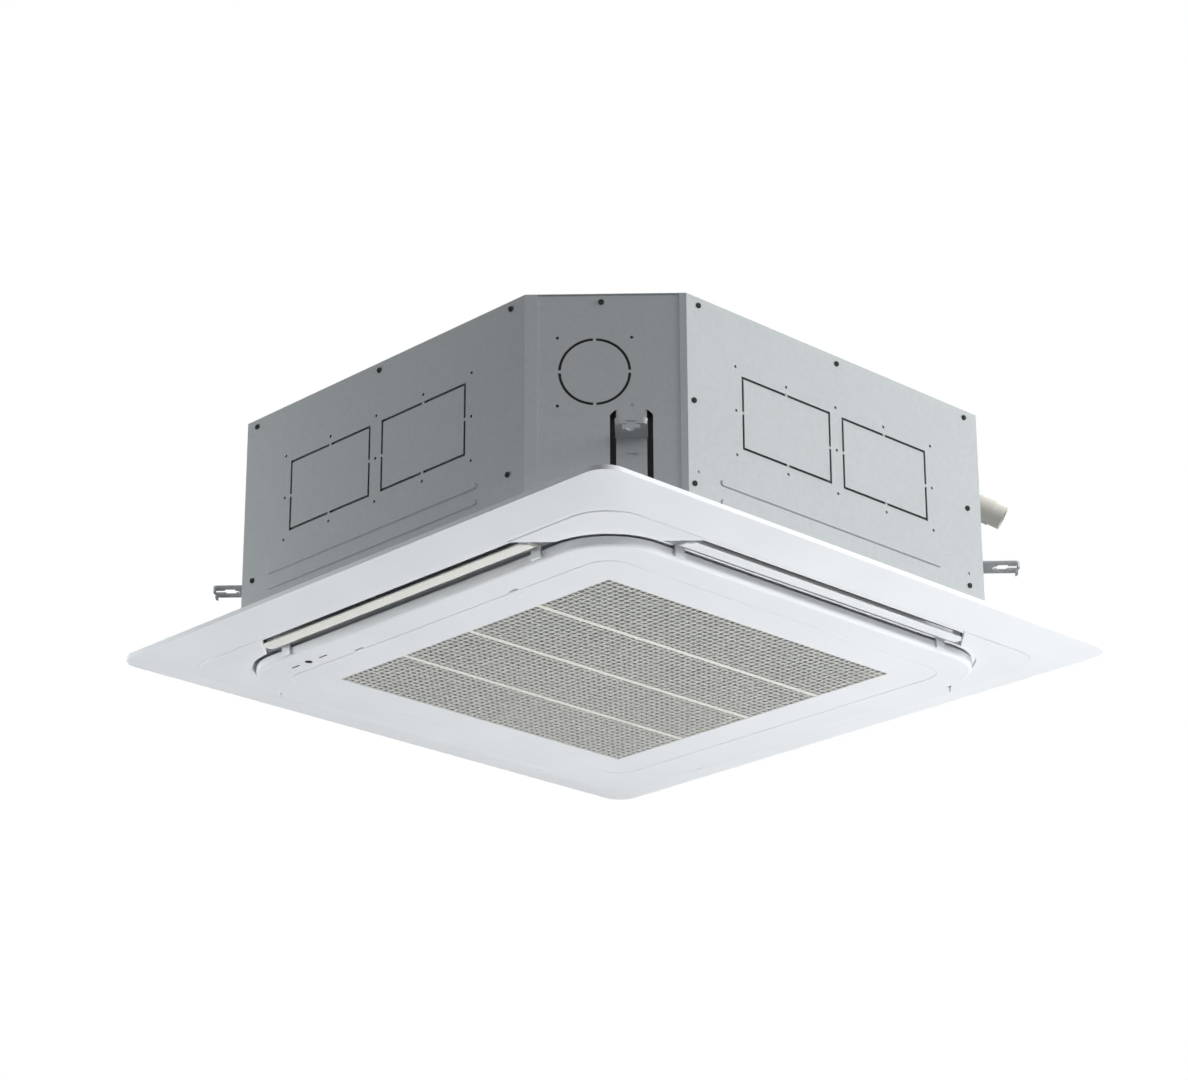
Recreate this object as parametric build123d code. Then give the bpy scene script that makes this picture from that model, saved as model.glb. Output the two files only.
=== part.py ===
from build123d import *
from math import cos, radians, sin, sqrt, tan
import os

# A four-way ceiling cassette air conditioner, in millimetres.
# The origin is the centre of the unit on the ceiling plane, and +Z points up into the ceiling space.
# Every piece of a side is drawn on the front side, which faces -Y, and every piece of a corner is
# drawn as if that corner faced -Y. Both are then turned into place.

os.makedirs("parts", exist_ok=True)

# ---------------------------------------------------------------- driving dimensions: casing
casing_side = 840.0        # across two opposite side panels
casing_height = 288.0      # bottom flanges to top plate
casing_floor = 12.0        # bottom flanges above the ceiling plane
corner_leg = 142.0         # what a cut corner takes off each side
sheet = 1.2                # galvanised sheet
lap_right = 16.0           # side panel's lap over the corner at its right-hand end
lap_left = 9.0             # side panel's lap over the corner at its left-hand end
corner_wing = 34.0         # corner panel's return behind each side panel
floor_flange = 13.0        # width of the bottom flanges
flange_inset = 2.0         # corner panel's bottom edge inside its own width
flange_end_gap = 4.0       # top plate's flange to the corner panels' returns
fixing_ledge = 10.0        # how far a fixing screw's ledge runs under the wall foam
top_flange = 20.0          # depth of the top plate's turned-down flange
rib_length = 130.0         # pressed ribs of the top plate
rib_width = 21.0
rib_height = 2.0
rib_distance = 265.0
press_taper = 25.0
pattern_x = -6.3           # middle of a side's knockouts and pilot holes
knockout_width = 164.0     # branch duct knockout on each side
knockout_height = 100.0
knockout_offset_x = 92.9   # knockout centre to the middle of the pattern
knockout_centre_z = 166.0
knockout_slit = 3.5
knockout_bridge = 4.0
round_knockout_radius = 45.2
round_knockout_s = -14.0
round_knockout_z = 194.4
round_pilot_square = 92.0
pilot_radius = 2.0
pilot_pitch_x = 92.8
pilot_low_z = 106.0
pilot_mid_z = 166.0
pilot_high_z = 226.0
bead_centre_x = -16.0
bead_length = 414.0
bead_width = 9.0
bead_height = 2.0
bead_taper = 35.0
front_bead_levels = (47.0, 69.0)
other_bead_levels = (34.0, 60.0)
top_screws = ((-257.0, 289.0), (-2.0, 289.0), (252.0, 289.0))
front_low_screws = ((-256.0, 66.0), (248.0, 66.0))
other_low_screws = ((-267.0, 157.0), (251.0, 157.0), (-268.0, 46.0), (248.0, 46.0))
spare_holes = ((-261.0, 63.0), (248.0, 63.0))
corner_screw = (-5.5, 289.0)
screw_head_radius = 3.6
screw_head_height = 2.2
screw_head_round = 1.0
screw_drive = (3.2, 0.9)   # arms of the cross recess: length and width
screw_drive_depth = 1.0
screw_shank_radius = 1.9
screw_shank = 2.5
screw_clearance = 0.1

# ---------------------------------------------------------------- driving dimensions: hangers
bracket_offset = 31.0      # bracket centre to the middle of its corner
bracket_width = 38.0
bracket_sheet = 3.0
bracket_low = 14.0
bracket_high = 176.0
lug_width = 40.0
lug_corner = 6.0
lug_top = 108.0
lug_reach = 26.0           # rod centre beyond the corner panel's lap line
lug_length = 55.0
lug_lip = 8.0
rod_slot_radius = 6.5
rod_window_width = 22.0    # wide part of the rod slot, where the nut is turned
rod_window_length = 14.0
mark_drop = 25.0           # pressed mark of a bracket below its lug
mark_length = 15.0
mark_width = 4.0
mark_depth = 1.2
bracket_slot_width = 53.0
bracket_slot_top = 142.0
bracket_slot_corner = 6.0
bracket_tab_width = 34.0
bracket_tab_drop = 14.0
pocket_gap = 3.0           # wall foam to a bracket slot and to a fixing screw's tip
pocket_head = 6.0          # wall foam above a bracket
screw_pocket_gap = 3.5     # wall foam round a fixing screw

# ---------------------------------------------------------------- driving dimensions: foam and coil
foam_gap = 0.3             # foam to sheet metal
liner_side = 12.3          # wall foam behind a side panel
liner_corner = 39.7        # wall foam behind a corner panel
top_foam = 20.8
top_foam_hole = 100.0
bracket_pocket = 12.0
coil_outer = 350.0         # half size of the wrapped coil
coil_depth = 45.0
coil_outer_bend = 133.0
coil_clear = 4.0           # coil to the walls of the drain trough
coil_headroom = 2.0
coil_end_x = 200.0         # where the coil stops on the back side
coil_end_y = 215.0         # where the coil stops on the right side
coil_plate = 1.2
coil_plate_overhang = 2.0
coil_stub = 3.0
coil_tube_radius = 4.2
coil_bend_radius = 10.5
coil_row_inset = 11.0
coil_bend_levels = (66.0, 108.0, 150.0, 192.0, 234.0)
header_gap = 2.8           # gas header to the coil's end plate
gas_header_radius = 9.5
gas_header_end = 12.0      # gas header beyond its last feeders
liquid_header_radius = 6.0
liquid_header_end = 10.0
liquid_feeder_radius = 3.0
gas_pipe_radius = 7.94
liquid_pipe_radius = 4.76
gas_union_radius = 11.1
liquid_union_radius = 7.94
union_length = 14.0
hexagon_length = 9.0
hexagon_margin = 3.0
pipe_wall = 1.0
gas_level = 185.0
liquid_level = 150.0
liquid_pipe_step = 21.5    # liquid pipe beside the gas pipe
pipe_reach = 48.0          # pipes beyond the back panel
pipe_joint = 360.0         # where the pipes are brazed to the headers
pipe_clearance = 3.0

# ---------------------------------------------------------------- driving dimensions: drain
pan_outer = 362.0
pan_inner = 295.0
pan_inner_bend = 100.0
pan_top = 62.0
trough_floor = 40.0
sump_floor = 32.0
sump_radius = 34.0
pump_distance = 408.0      # pump axis from the centre, along the corner
pump_housing_radius = 26.0
pump_motor_radius = 22.0
pump_inlet_radius = 10.0
pump_wall = 3.0
pump_leg = 5.0
pump_leg_radius = 3.0
pump_leg_inset = 6.0
pump_housing_height = 24.0
pump_motor_height = 52.0
pump_shaft_radius = 2.0
pump_shaft_reach = 10.0    # impeller shaft inside the pump's motor
pump_shaft_depth = 12.0    # bore for that shaft
impeller_radius = 18.0
impeller_height = 10.0
impeller_gap = 3.0
impeller_disc = 2.0
impeller_blade = 1.5
impeller_hub_radius = 4.0
riser_radius = 8.0
riser_wall = 2.0
riser_distance = 434.0
riser_joint = 120.0
outlet_level = 206.0
outlet_radius = 16.0
outlet_collar_radius = 17.5
outlet_wall = 3.0
outlet_bend_reach = 9.0
outlet_collar_length = 19.0
outlet_collar_lap = 2.0    # collar's start outside the wall foam
outlet_pipe_length = 17.0
outlet_droop = 28.0
float_s = 40.0
float_distance = 412.0
float_stem_radius = 3.0
float_stem_gap = 2.0       # stem to the trough's floor
float_stop = 1.5
float_arm = 3.0
float_arm_half = 5.0
float_foot = (11.0, 1.0)   # foot of the arm, measured inward from the pan's edge
float_bore_gap = 0.3
float_radius = 9.0
float_height = 12.0
float_travel = 10.0

# ---------------------------------------------------------------- driving dimensions: fan
bell_plate = 2.0
bell_plate_half = 301.5
bell_plate_gap = 0.5
bell_throat_radius = 193.0
bell_curve = 42.0
bell_top = 66.0
rotor_radius = 232.0
rotor_hub_radius = 107.5
rotor_top = 222.0
rotor_web = 3.0
shroud_low = 62.0
shroud_inlet_radius = 200.0
shroud_rise = 20.0
shroud_foot = 4.0
shroud_lower_knee = (8.0, 12.0)    # beyond the inlet radius, above the shroud's lower end
shroud_upper_knee = (6.0, 15.5)
cone_wall = 3.5
blade_count = 7
blade_thickness = 4.0
blade_inner_radius = 120.0
blade_overrun = 4.0
blade_bow = 0.14           # bow of a blade as a share of its chord
blade_rise = 37.0          # inner end of a blade below the rotor's top
blade_bite = 1.8           # how deep a blade runs into the shroud
blade_sweep = 38.0
nose_radius = 79.5
nose_low = 163.0
vent_count = 6
vent_radius = 8.0
vent_circle = 50.0
boss_radius = 16.0
boss_low = 148.0
shaft_radius = 6.0
shaft_low = 140.0
shaft_high = 200.0
shaft_end_gap = 3.0
shaft_press = 0.02
shaft_running = 0.05
nut_flats = 17.0
nut_height = 6.0
motor_radius = 72.0
motor_round = 6.0
motor_ear = 5.0
motor_ear_half = 9.0
motor_ear_reach = 12.0
motor_ear_root = 8.0
motor_low = 176.0
motor_boss_radius = 24.0
motor_boss = 5.0
motor_high = 262.0
bracket_plate = 2.5
motor_plate_radius = 92.0
motor_leg_width = 30.0
motor_foot = 24.0

# ---------------------------------------------------------------- driving dimensions: controls
box_half_length = 150.0
box_near = -236.0
box_far = -297.0
box_low = -15.0
box_wall = 1.5
lid_thickness = 1.2
board_thickness = 1.6
board_level = -6.0
board_inset_x = 6.0
board_inset_y = 4.0
board_end = 22.0
board_parts = ((-120.0, -275.0, 30.0, 22.0, 7.0), (-80.0, -262.0, 18.0, 30.0, 6.0),
               (-40.0, -270.0, 24.0, 24.0, 7.5), (-5.0, -255.0, 12.0, 12.0, 5.0))
post_radius = 3.0
post_inset = (14.0, 9.0)   # board posts inside the box and the board's end
post_end = 14.0
terminal_x = (60.0, 132.0)
terminal_y = (10.0, 36.0)  # beyond the box's far wall
terminal_height = 14.0
terminal_count = 6
terminal_pitch = 11.5
terminal_margin = 3.0
terminal_pocket = 9.0
terminal_pocket_top = 8.0
terminal_screw_radius = 2.5
terminal_screw = (11.0, 7.0)

# ---------------------------------------------------------------- driving dimensions: panel
panel_side = 950.0
panel_corner = 30.0
rim_height = 6.0
rim_wall = 3.5
skin = 3.0
step_half = 418.0          # where the slope of the panel meets its flat face
step_corner = 60.0
plate_inset = 2.0
panel_face = -18.0         # flat face of the panel below the ceiling
face_pocket = 2.0
cover_half = 413.5
cover_corner = 58.0
strip_half = 408.0         # outer edge of the air outlets
outlet_inner = 369.0       # inner edge of the air outlets
mitre = 462.0              # outlet ends, measured from the centre along the diagonal
channel_wall = 3.0
channel_roof = 2.0
duct_half = 215.0
collar_top = 11.5
seal_level = 6.0
seal_outer = 416.5
seal_lap = 5.0
opening_half = 300.0
opening_corner = 20.0
opening_wall_top = 13.0
adjust_length = 90.0
adjust_width = 44.0
adjust_corner = 6.0
adjust_distance = 519.0
fixing_s = 75.0
fixing_distance = 476.0
fixing_head_radius = 5.5
fixing_head = 3.5
fixing_shank_radius = 2.5
fixing_boss_radius = 8.5
fixing_recess_top = -9.0
fixing_tip = 22.0
fixing_hole_gap = 0.5
fixing_head_gap = 1.0
fixing_drive = (5.0, 1.2)
fixing_drive_end = 2.0
tab_half = 13.0
cover_level = -19.5
cover_edge = 1.0
cover_gap = 0.3
cover_grille_gap = 5.0
peg_s = 60.0
peg_distance = 505.0
peg_radius = 3.0
peg_top = -10.0

# ---------------------------------------------------------------- driving dimensions: vanes
vane_axis_y = -388.5
vane_axis_z = -11.0
vane_outer = (-402.0, -22.0)
vane_inner = (-372.5, -19.0)
vane_thickness = 3.6
vane_edge = 2.5
vane_edge_round = 0.9
vane_crown = 1.2
vane_end_gap = 2.0
vane_ear_x = 252.0
vane_ear = 4.0
vane_tip = 1.0             # square end of a vane beyond its ear
vane_web_sink = 1.0
vane_ear_radius = 4.5
vane_pin_radius = 2.5
vane_pin_left = 269.0
vane_pin_right = 294.0
bush_running = 0.05
bush_x = 257.0
bush_length = 13.5
bush_radius = 4.5
vane_motor_radius = 11.5
vane_motor_rise = 8.0
vane_motor_x = 282.0
vane_motor_length = 16.0
vane_motor_seat = 0.3
vane_motor_end_gap = 1.0
vane_pin_end_gap = 1.5
cradle_inset = 1.0
cradle_wall = 2.0
cradle_drop = 2.0

# ---------------------------------------------------------------- driving dimensions: grille
grille_half = 366.0
grille_corner = 85.0
grille_face = -33.5
grille_top = -20.0
grille_wall = 3.0
grille_edge = 6.0
window_half = 261.0
groove_half = 318.0
groove_width = 1.4
groove_depth = 0.5
mesh_recess = 0.5
mesh_bar = 1.6
mesh_pitch = 29.0
mesh_bar_depth = 2.5
mesh_rib = 5.0
mesh_rib_pitch = 130.5
mesh_flange_half = 270.0
mesh_flange = 1.5
filter_half = 270.0
filter_height = 6.0
filter_frame = 8.0
filter_cross = 6.0
filter_net = 1.0
filter_net_inset = 4.0
filter_wall_gap = 1.0
filter_wall = 2.5
filter_wall_top = -26.0
hinge_y = 359.0
hinge_z = -27.0
hinge_x = 200.0
hinge_lug = 10.0
hinge_arm = 6.5
hinge_gap = 0.5
knuckle_radius = 3.0
hinge_pin_radius = 1.6
hinge_running = 0.05
latch_x = 150.0
latch_half = 12.0
latch_tab_half = 8.0
latch_travel = 5.0
latch_near = -300.0
latch_step = -327.0
latch_tip = -343.5
latch_tab = (-318.0, -308.0)
latch_nose = (-23.2, -21.0)
latch_base = 2.0
latch_wall = 3.0
latch_release = 0.5
latch_lift = 0.8
latch_slot_gap = 0.3
rail_width = 2.0
rail_height = 3.5
rail_sink = 0.5
catch_lip = 3.0
catch_post = 3.0
receiver_x = -235.0
receiver_y = -337.0
receiver_radius = 5.0
receiver_flange = 1.5
receiver_back_half = 7.0
indicator_offsets = (-27.0, 30.0)
indicator_half = (8.0, 1.2)
indicator_margin = 3.0
guide_x = (236.0, 252.0)
guide_face = 0.8           # guide fence outside the inner edge of the air outlets
guide_depth = 2.0
guide_low = -30.0

# ---------------------------------------------------------------- worked out from the above
root2 = sqrt(2)
casing_half = casing_side / 2
casing_top = casing_floor + casing_height
casing_diagonal = (casing_side - corner_leg) / root2
casing_flat = casing_half - corner_leg
plate_low = casing_top - sheet
flange_top = casing_floor + sheet
corner_face = casing_diagonal - sheet
corner_flat = (casing_half - sheet) * root2 - corner_face
bracket_face = corner_face - sheet
liner_half = casing_half - 2 * sheet - foam_gap
liner_diagonal = casing_diagonal - 3 * sheet - foam_gap
duct_outer = liner_half - liner_side
duct_diagonal = liner_diagonal - liner_corner
liner_top = plate_low - top_foam
coil_inner = coil_outer - coil_depth
coil_inner_bend = coil_outer_bend - coil_depth
coil_top = liner_top - coil_headroom
coil_rows = (coil_inner + coil_row_inset, coil_outer - coil_row_inset)
gas_header_x = coil_end_x + coil_plate + gas_header_radius + header_gap
liquid_header_x = gas_header_x + liquid_pipe_step
screw_hole_radius = screw_shank_radius + screw_clearance
bell_level = flange_top + bell_plate
seal_inner = strip_half
seal_diagonal = mitre + channel_wall
frame_plate_low = panel_face + face_pocket
frame_plate_top = frame_plate_low + skin
rod_distance = casing_diagonal + lug_reach
vane_motor_z = vane_axis_z + vane_motor_rise
grille_skin_top = grille_face + grille_wall
sides = ("front", "right", "back", "left")
corners = ("front_right", "back_right", "back_left", "front_left")
bracket_places = (bracket_offset, -bracket_offset, bracket_offset, -bracket_offset)


# ---------------------------------------------------------------- drawing helpers
def block(x, y, z):
    """Box between two values on each axis."""
    size = Box(x[1] - x[0], y[1] - y[0], z[1] - z[0])
    return Pos((x[0] + x[1]) / 2, (y[0] + y[1]) / 2, (z[0] + z[1]) / 2) * size


def prism(outline, low, high):
    """Upright solid over an outline, between two levels."""
    return extrude(Pos(0, 0, low) * outline, amount=high - low, dir=(0, 0, 1))


def square(half, corner=0.0):
    """Square outline about the centre, with rounded corners where a radius is given."""
    if corner:
        return RectangleRounded(2 * half, 2 * half, corner)
    return Rectangle(2 * half, 2 * half)


def octagon(half, diagonal):
    """Square outline whose corners are cut at a distance from the centre."""
    leg = diagonal * root2 - half
    points = [(leg, -half), (half, -leg), (half, leg), (leg, half),
              (-leg, half), (-half, leg), (-half, -leg), (-leg, -half)]
    return Polygon(*points, align=None)


def rod(radius, start, end):
    """Round bar from one point to another."""
    along = Vector(*end) - Vector(*start)
    return extrude(Plane(origin=start, z_dir=along) * Circle(radius), amount=along.length)


def tube(outer, inner, start, end):
    """Round tube from one point to another."""
    return rod(outer, start, end) - rod(inner, start, end)


def facing(distance):
    """Drawing plane that faces -Y: its own x is X and its own y is Z."""
    return Plane(origin=(0, -distance, 0), x_dir=(1, 0, 0), z_dir=(0, -1, 0))


def pressed(distance, outline, depth=3 * sheet):
    """Cutter through a sheet that faces -Y."""
    return extrude(facing(distance) * outline, amount=depth, both=True)


def around(profile):
    """Solid turned about the vertical axis from a profile of radius and level."""
    return revolve(Plane.XZ * profile, Axis.Z)


def to_side(k, shape):
    return Rot(0, 0, 90 * k) * shape


def to_corner(k, shape):
    return Rot(0, 0, 45 + 90 * k) * shape


def save(name, shape):
    export_step(shape, "parts/" + name + ".step")


def save_group(name, shapes):
    solids = []
    for shape in shapes:
        solids.extend(shape.solids())
    save(name, Compound(children=solids))


# ---------------------------------------------------------------- casing
def bent_wall(face, half_width, right_end, left_end):
    """Outline of a sheet wall facing -Y, both ends bent back by 45 degrees."""
    slant = cos(radians(45))
    inner = half_width - sheet * tan(radians(22.5))
    right = right_end * slant
    left = left_end * slant
    turn = sheet * slant
    points = [(half_width + right, right - face), (half_width, -face), (-half_width, -face),
              (-half_width - left, left - face), (turn - half_width - left, turn + left - face),
              (-inner, sheet - face), (inner, sheet - face),
              (half_width + right - turn, turn + right - face)]
    return Polygon(*points, align=None)


def knockout_outline():
    """Slit round a branch duct knockout, broken by a bridge in the middle of each side."""
    slit = Rectangle(knockout_width, knockout_height)
    slit -= Rectangle(knockout_width - 2 * knockout_slit, knockout_height - 2 * knockout_slit)
    slit -= Rectangle(knockout_bridge, 2 * knockout_height)
    slit -= Rectangle(2 * knockout_width, knockout_bridge)
    return slit


def side_pilots():
    places = []
    for step in (-2, -1, 0, 1, 2):
        x = pattern_x + step * pilot_pitch_x
        places.append((x, pilot_low_z))
        places.append((x, pilot_high_z))
        if step in (-2, 0, 2):
            places.append((x, pilot_mid_z))
    return places


def side_screws(k):
    return top_screws + (front_low_screws if sides[k] == "front" else other_low_screws)


def side_panel(k):
    wall = prism(bent_wall(casing_half, casing_flat, lap_right, lap_left), casing_floor, plate_low)
    flange_end = casing_flat - lap_left
    panel = wall + block((-flange_end, flange_end), (sheet - casing_half, floor_flange - casing_half),
                         (casing_floor, flange_top))
    recess_length = bead_length - 2 * sheet
    recess_width = bead_width - 2 * sheet
    for level in front_bead_levels if sides[k] == "front" else other_bead_levels:
        bead = facing(casing_half) * Pos(bead_centre_x, level) * SlotOverall(bead_length, bead_width)
        panel += extrude(bead, amount=bead_height, taper=bead_taper)
        recess = Pos(bead_centre_x, level) * SlotOverall(recess_length, recess_width)
        panel -= extrude(facing(casing_half - sheet) * recess, amount=bead_height, taper=bead_taper)
    for side in (-1, 1):
        x = pattern_x + side * knockout_offset_x
        panel -= pressed(casing_half, Pos(x, knockout_centre_z) * knockout_outline())
    for x, z in side_pilots():
        panel -= pressed(casing_half, Pos(x, z) * Circle(pilot_radius))
    if sides[k] != "front":
        for x, z in spare_holes:
            panel -= pressed(casing_half, Pos(x, z) * Circle(pilot_radius))
    for x, z in side_screws(k):
        panel -= pressed(casing_half, Pos(x, z) * Circle(screw_hole_radius))
    return panel


def back_panel(panel):
    """Side panel with the two pipe holes, drawn on the front side."""
    panel -= pressed(casing_half, Pos(-gas_header_x, gas_level) * Circle(gas_pipe_radius + pipe_clearance))
    panel -= pressed(casing_half,
                     Pos(-liquid_header_x, liquid_level) * Circle(liquid_pipe_radius + pipe_clearance))
    return panel


def bracket_slot_outline(s):
    half = bracket_slot_width / 2
    tab = bracket_tab_width / 2
    corner = bracket_slot_corner
    below = casing_floor - 1
    low_tab = bracket_slot_top - bracket_tab_drop
    points = [(-half, below), (-half, bracket_slot_top - corner), (corner - half, bracket_slot_top),
              (-tab, bracket_slot_top), (-tab, low_tab), (tab, low_tab), (tab, bracket_slot_top),
              (half - corner, bracket_slot_top), (half, bracket_slot_top - corner), (half, below)]
    return Pos(s, 0) * Polygon(*points, align=None)


def round_knockout_outline():
    slit = Circle(round_knockout_radius) - Circle(round_knockout_radius - knockout_slit)
    slit -= Rectangle(3 * round_knockout_radius, knockout_bridge)
    return slit - Rectangle(knockout_bridge, 3 * round_knockout_radius)


def corner_panel(k):
    plate = prism(bent_wall(corner_face, corner_flat, corner_wing, corner_wing), flange_top, plate_low)
    plate += block((flange_inset - corner_flat, corner_flat - flange_inset),
                   (-corner_face, sheet - corner_face), (casing_floor, flange_top + 1))
    plate += block((fixing_s - tab_half, fixing_s + tab_half),
                   (-bracket_face - sheet / 2, fixing_ledge - duct_diagonal), (casing_floor, flange_top))
    plate -= pressed(corner_face, bracket_slot_outline(bracket_places[k]))
    plate -= pressed(corner_face, Pos(*corner_screw) * Circle(screw_hole_radius))
    plate -= rod(fixing_shank_radius + screw_clearance, (fixing_s, -fixing_distance, casing_floor - 1),
                 (fixing_s, -fixing_distance, flange_top + 1))
    if k in (0, 3):
        s = round_knockout_s if k == 0 else -round_knockout_s
        plate -= pressed(corner_face, Pos(s, round_knockout_z) * round_knockout_outline())
        reach = round_pilot_square / 2
        for ds, dz in ((-reach, -reach), (-reach, reach), (reach, -reach), (reach, reach)):
            plate -= pressed(corner_face, Pos(s + ds, round_knockout_z + dz) * Circle(pilot_radius))
    if k == 1:
        plate -= pressed(corner_face, Pos(0, outlet_level) * Circle(outlet_collar_radius + foam_gap))
    for turn in (-1, 1):
        wing_side = Rot(0, 0, 45 * turn)
        for x, z in side_screws((k + (turn + 1) // 2) % 4):
            reaches = abs(x) > casing_flat - corner_wing and x * turn < 0
            if reaches:
                plate -= wing_side * pressed(casing_half, Pos(x, z) * Circle(screw_hole_radius))
    return plate


def top_plate():
    plate = prism(octagon(casing_half, casing_diagonal), plate_low, casing_top)
    flange_half = casing_flat - corner_wing - flange_end_gap
    flange = block((-flange_half, flange_half), (sheet - casing_half, 2 * sheet - casing_half),
                   (plate_low - top_flange, plate_low))
    flange -= pressed(casing_half, Pos(*top_screws[1]) * Circle(screw_hole_radius))
    corner_half = corner_flat - lap_right
    corner_flange = block((-corner_half, corner_half), (-bracket_face, sheet - bracket_face),
                          (plate_low - top_flange, plate_low))
    corner_flange -= pressed(corner_face, Pos(*corner_screw) * Circle(screw_hole_radius))
    rib = extrude(Pos(0, -rib_distance, plate_low + sheet / 2)
                  * SlotOverall(rib_length, rib_width, rotation=90), amount=rib_height, taper=press_taper)
    foot_y = motor_plate_radius - motor_foot / 2
    foot_hole = rod(screw_hole_radius, (0, -foot_y, plate_low - 1), (0, -foot_y, casing_top + 1))
    for k in range(4):
        plate += to_side(k, flange)
        plate += to_corner(k, corner_flange)
        plate += to_corner(k, rib)
        plate -= to_corner(k, foot_hole)
    return plate


def wall_liner():
    foam = prism(octagon(liner_half, liner_diagonal) - octagon(duct_outer, duct_diagonal),
                 flange_top, liner_top)
    for k in range(4):
        s = bracket_places[k]
        reach = bracket_slot_width / 2 + pocket_gap
        pocket = block((s - reach, s + reach), (-liner_diagonal - 1, bracket_pocket - liner_diagonal),
                       (flange_top - 1, bracket_high + pocket_head))
        screw_pocket = rod(fixing_shank_radius + screw_pocket_gap,
                           (fixing_s, -fixing_distance, flange_top - 1),
                           (fixing_s, -fixing_distance, fixing_tip + pocket_gap))
        foam -= to_corner(k, pocket)
        foam -= to_corner(k, screw_pocket)
    drain_hole = rod(outlet_collar_radius + foam_gap, (0, -duct_diagonal + 1, outlet_level),
                     (0, -liner_diagonal - 1, outlet_level))
    foam -= to_corner(1, drain_hole)
    for x, z, radius in ((gas_header_x, gas_level, gas_pipe_radius),
                         (liquid_header_x, liquid_level, liquid_pipe_radius)):
        foam -= rod(radius + pipe_clearance, (x, pipe_joint, z), (x, liner_half + 1, z))
    return foam


def top_liner():
    outline = octagon(liner_half, liner_diagonal) - Circle(top_foam_hole)
    return prism(outline, liner_top, plate_low)


def pan_screw(start, inward, shank):
    """Pan head screw whose head stands on a face at start, with its shank going inward."""
    origin = Vector(*start)
    direction = Vector(*inward)
    head = rod(screw_head_radius, origin, origin - direction * screw_head_height)
    top = head.faces().sort_by(Axis(start, tuple(direction)))[0]
    head = fillet(top.edges(), screw_head_round)
    long, short = screw_drive
    cross = Rectangle(long, short) + Rectangle(short, long)
    drive = Plane(origin=origin - direction * screw_head_height, z_dir=direction) * cross
    head -= extrude(drive, amount=screw_drive_depth)
    return head + rod(screw_shank_radius, origin, origin + direction * shank)


def casing_screws():
    screws = []
    for k in range(4):
        for x, z in side_screws(k):
            screws.append(to_side(k, pan_screw((x, -casing_half, z), (0, 1, 0), screw_shank)))
        s, z = corner_screw
        screws.append(to_corner(k, pan_screw((s, -corner_face, z), (0, 1, 0), screw_shank)))
        foot_y = motor_plate_radius - motor_foot / 2
        top_shank = sheet + bracket_plate + 1
        screws.append(to_corner(k, pan_screw((0, -foot_y, casing_top), (0, 0, -1), top_shank)))
    return screws


def hanging_bracket(s):
    """Hanger strip behind the corner panel, with a slotted lug for a threaded rod."""
    strip = block((s - bracket_width / 2, s + bracket_width / 2),
                  (-bracket_face, bracket_sheet - bracket_face), (bracket_low, bracket_high))
    mark = facing(bracket_face) * Pos(s, lug_top - mark_drop) * SlotOverall(mark_length, mark_width)
    strip -= extrude(mark, amount=-mark_depth)
    end = casing_diagonal + lug_length
    lip_low = lug_top - lug_lip
    around_lug = (s - lug_width, s + lug_width)
    outline = Pos(s, -bracket_face) * RectangleRounded(lug_width, 2 * (end - bracket_face), lug_corner)
    lug = prism(outline, lip_low, lug_top)
    lug &= block(around_lug, (-end - 1, -bracket_face), (lip_low, lug_top))
    lug -= block(around_lug, (bracket_sheet - end, 0), (lip_low - 1, lug_top - bracket_sheet))
    slot = Pos(s, -rod_distance) * Circle(rod_slot_radius)
    narrow = block((s - rod_slot_radius, s + rod_slot_radius), (-end - 1, -rod_distance),
                   (lip_low - 1, lug_top + 1))
    window = block((s - rod_window_width / 2, s + rod_window_width / 2),
                   (-rod_distance - rod_window_length, -rod_distance), (lip_low - 1, lug_top + 1))
    return strip + lug - prism(slot, lip_low - 1, lug_top + 1) - narrow - window


def build_casing():
    for k in range(4):
        panel = side_panel(k)
        if sides[k] == "back":
            panel = back_panel(panel)
        save("side_panel_" + sides[k], to_side(k, panel))
        save("corner_panel_" + corners[k], to_corner(k, corner_panel(k)))
        save("hanging_bracket_" + corners[k], to_corner(k, hanging_bracket(bracket_places[k])))
    save("top_plate", top_plate())
    save("wall_liner", wall_liner())
    save("top_liner", top_liner())
    save_group("casing_screws", casing_screws())


# ---------------------------------------------------------------- coil and pipes
def coil_fins():
    ring = square(coil_outer, coil_outer_bend) - square(coil_inner, coil_inner_bend)
    fins = prism(ring, trough_floor, coil_top)
    reach = 2 * coil_outer
    return fins - block((coil_end_x, reach), (coil_end_y, reach), (0, casing_top))


def coil_end_plates():
    side = (coil_inner - coil_plate_overhang, coil_outer + coil_plate_overhang)
    level = (trough_floor, coil_top)
    return [block((coil_end_x, coil_end_x + coil_plate), side, level),
            block(side, (coil_end_y, coil_end_y + coil_plate), level)]


def return_bend(x, z):
    """U-bend that joins two coil tubes on the right side's end plate."""
    start = coil_end_y + coil_plate
    turn = start + coil_stub
    ring = Pos(x, turn, z) * Rot(0, 90, 0) * Torus(coil_bend_radius, coil_tube_radius)
    reach = 2 * coil_bend_radius
    bend = ring & block((x - reach, x + reach), (turn, start + 2 * reach), (z - reach, z + reach))
    for level in (z - coil_bend_radius, z + coil_bend_radius):
        bend += rod(coil_tube_radius, (x, start, level), (x, turn, level))
    return bend


def gas_header():
    start = coil_end_x + coil_plate
    row = coil_rows[1]
    header = rod(gas_header_radius, (gas_header_x, row, coil_bend_levels[0] - gas_header_end),
                 (gas_header_x, row, coil_bend_levels[-1] + gas_header_end))
    for level in coil_bend_levels:
        header += rod(coil_tube_radius, (start, row, level), (gas_header_x, row, level))
    header += rod(gas_pipe_radius, (gas_header_x, row, gas_level), (gas_header_x, pipe_joint, gas_level))
    return header


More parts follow.
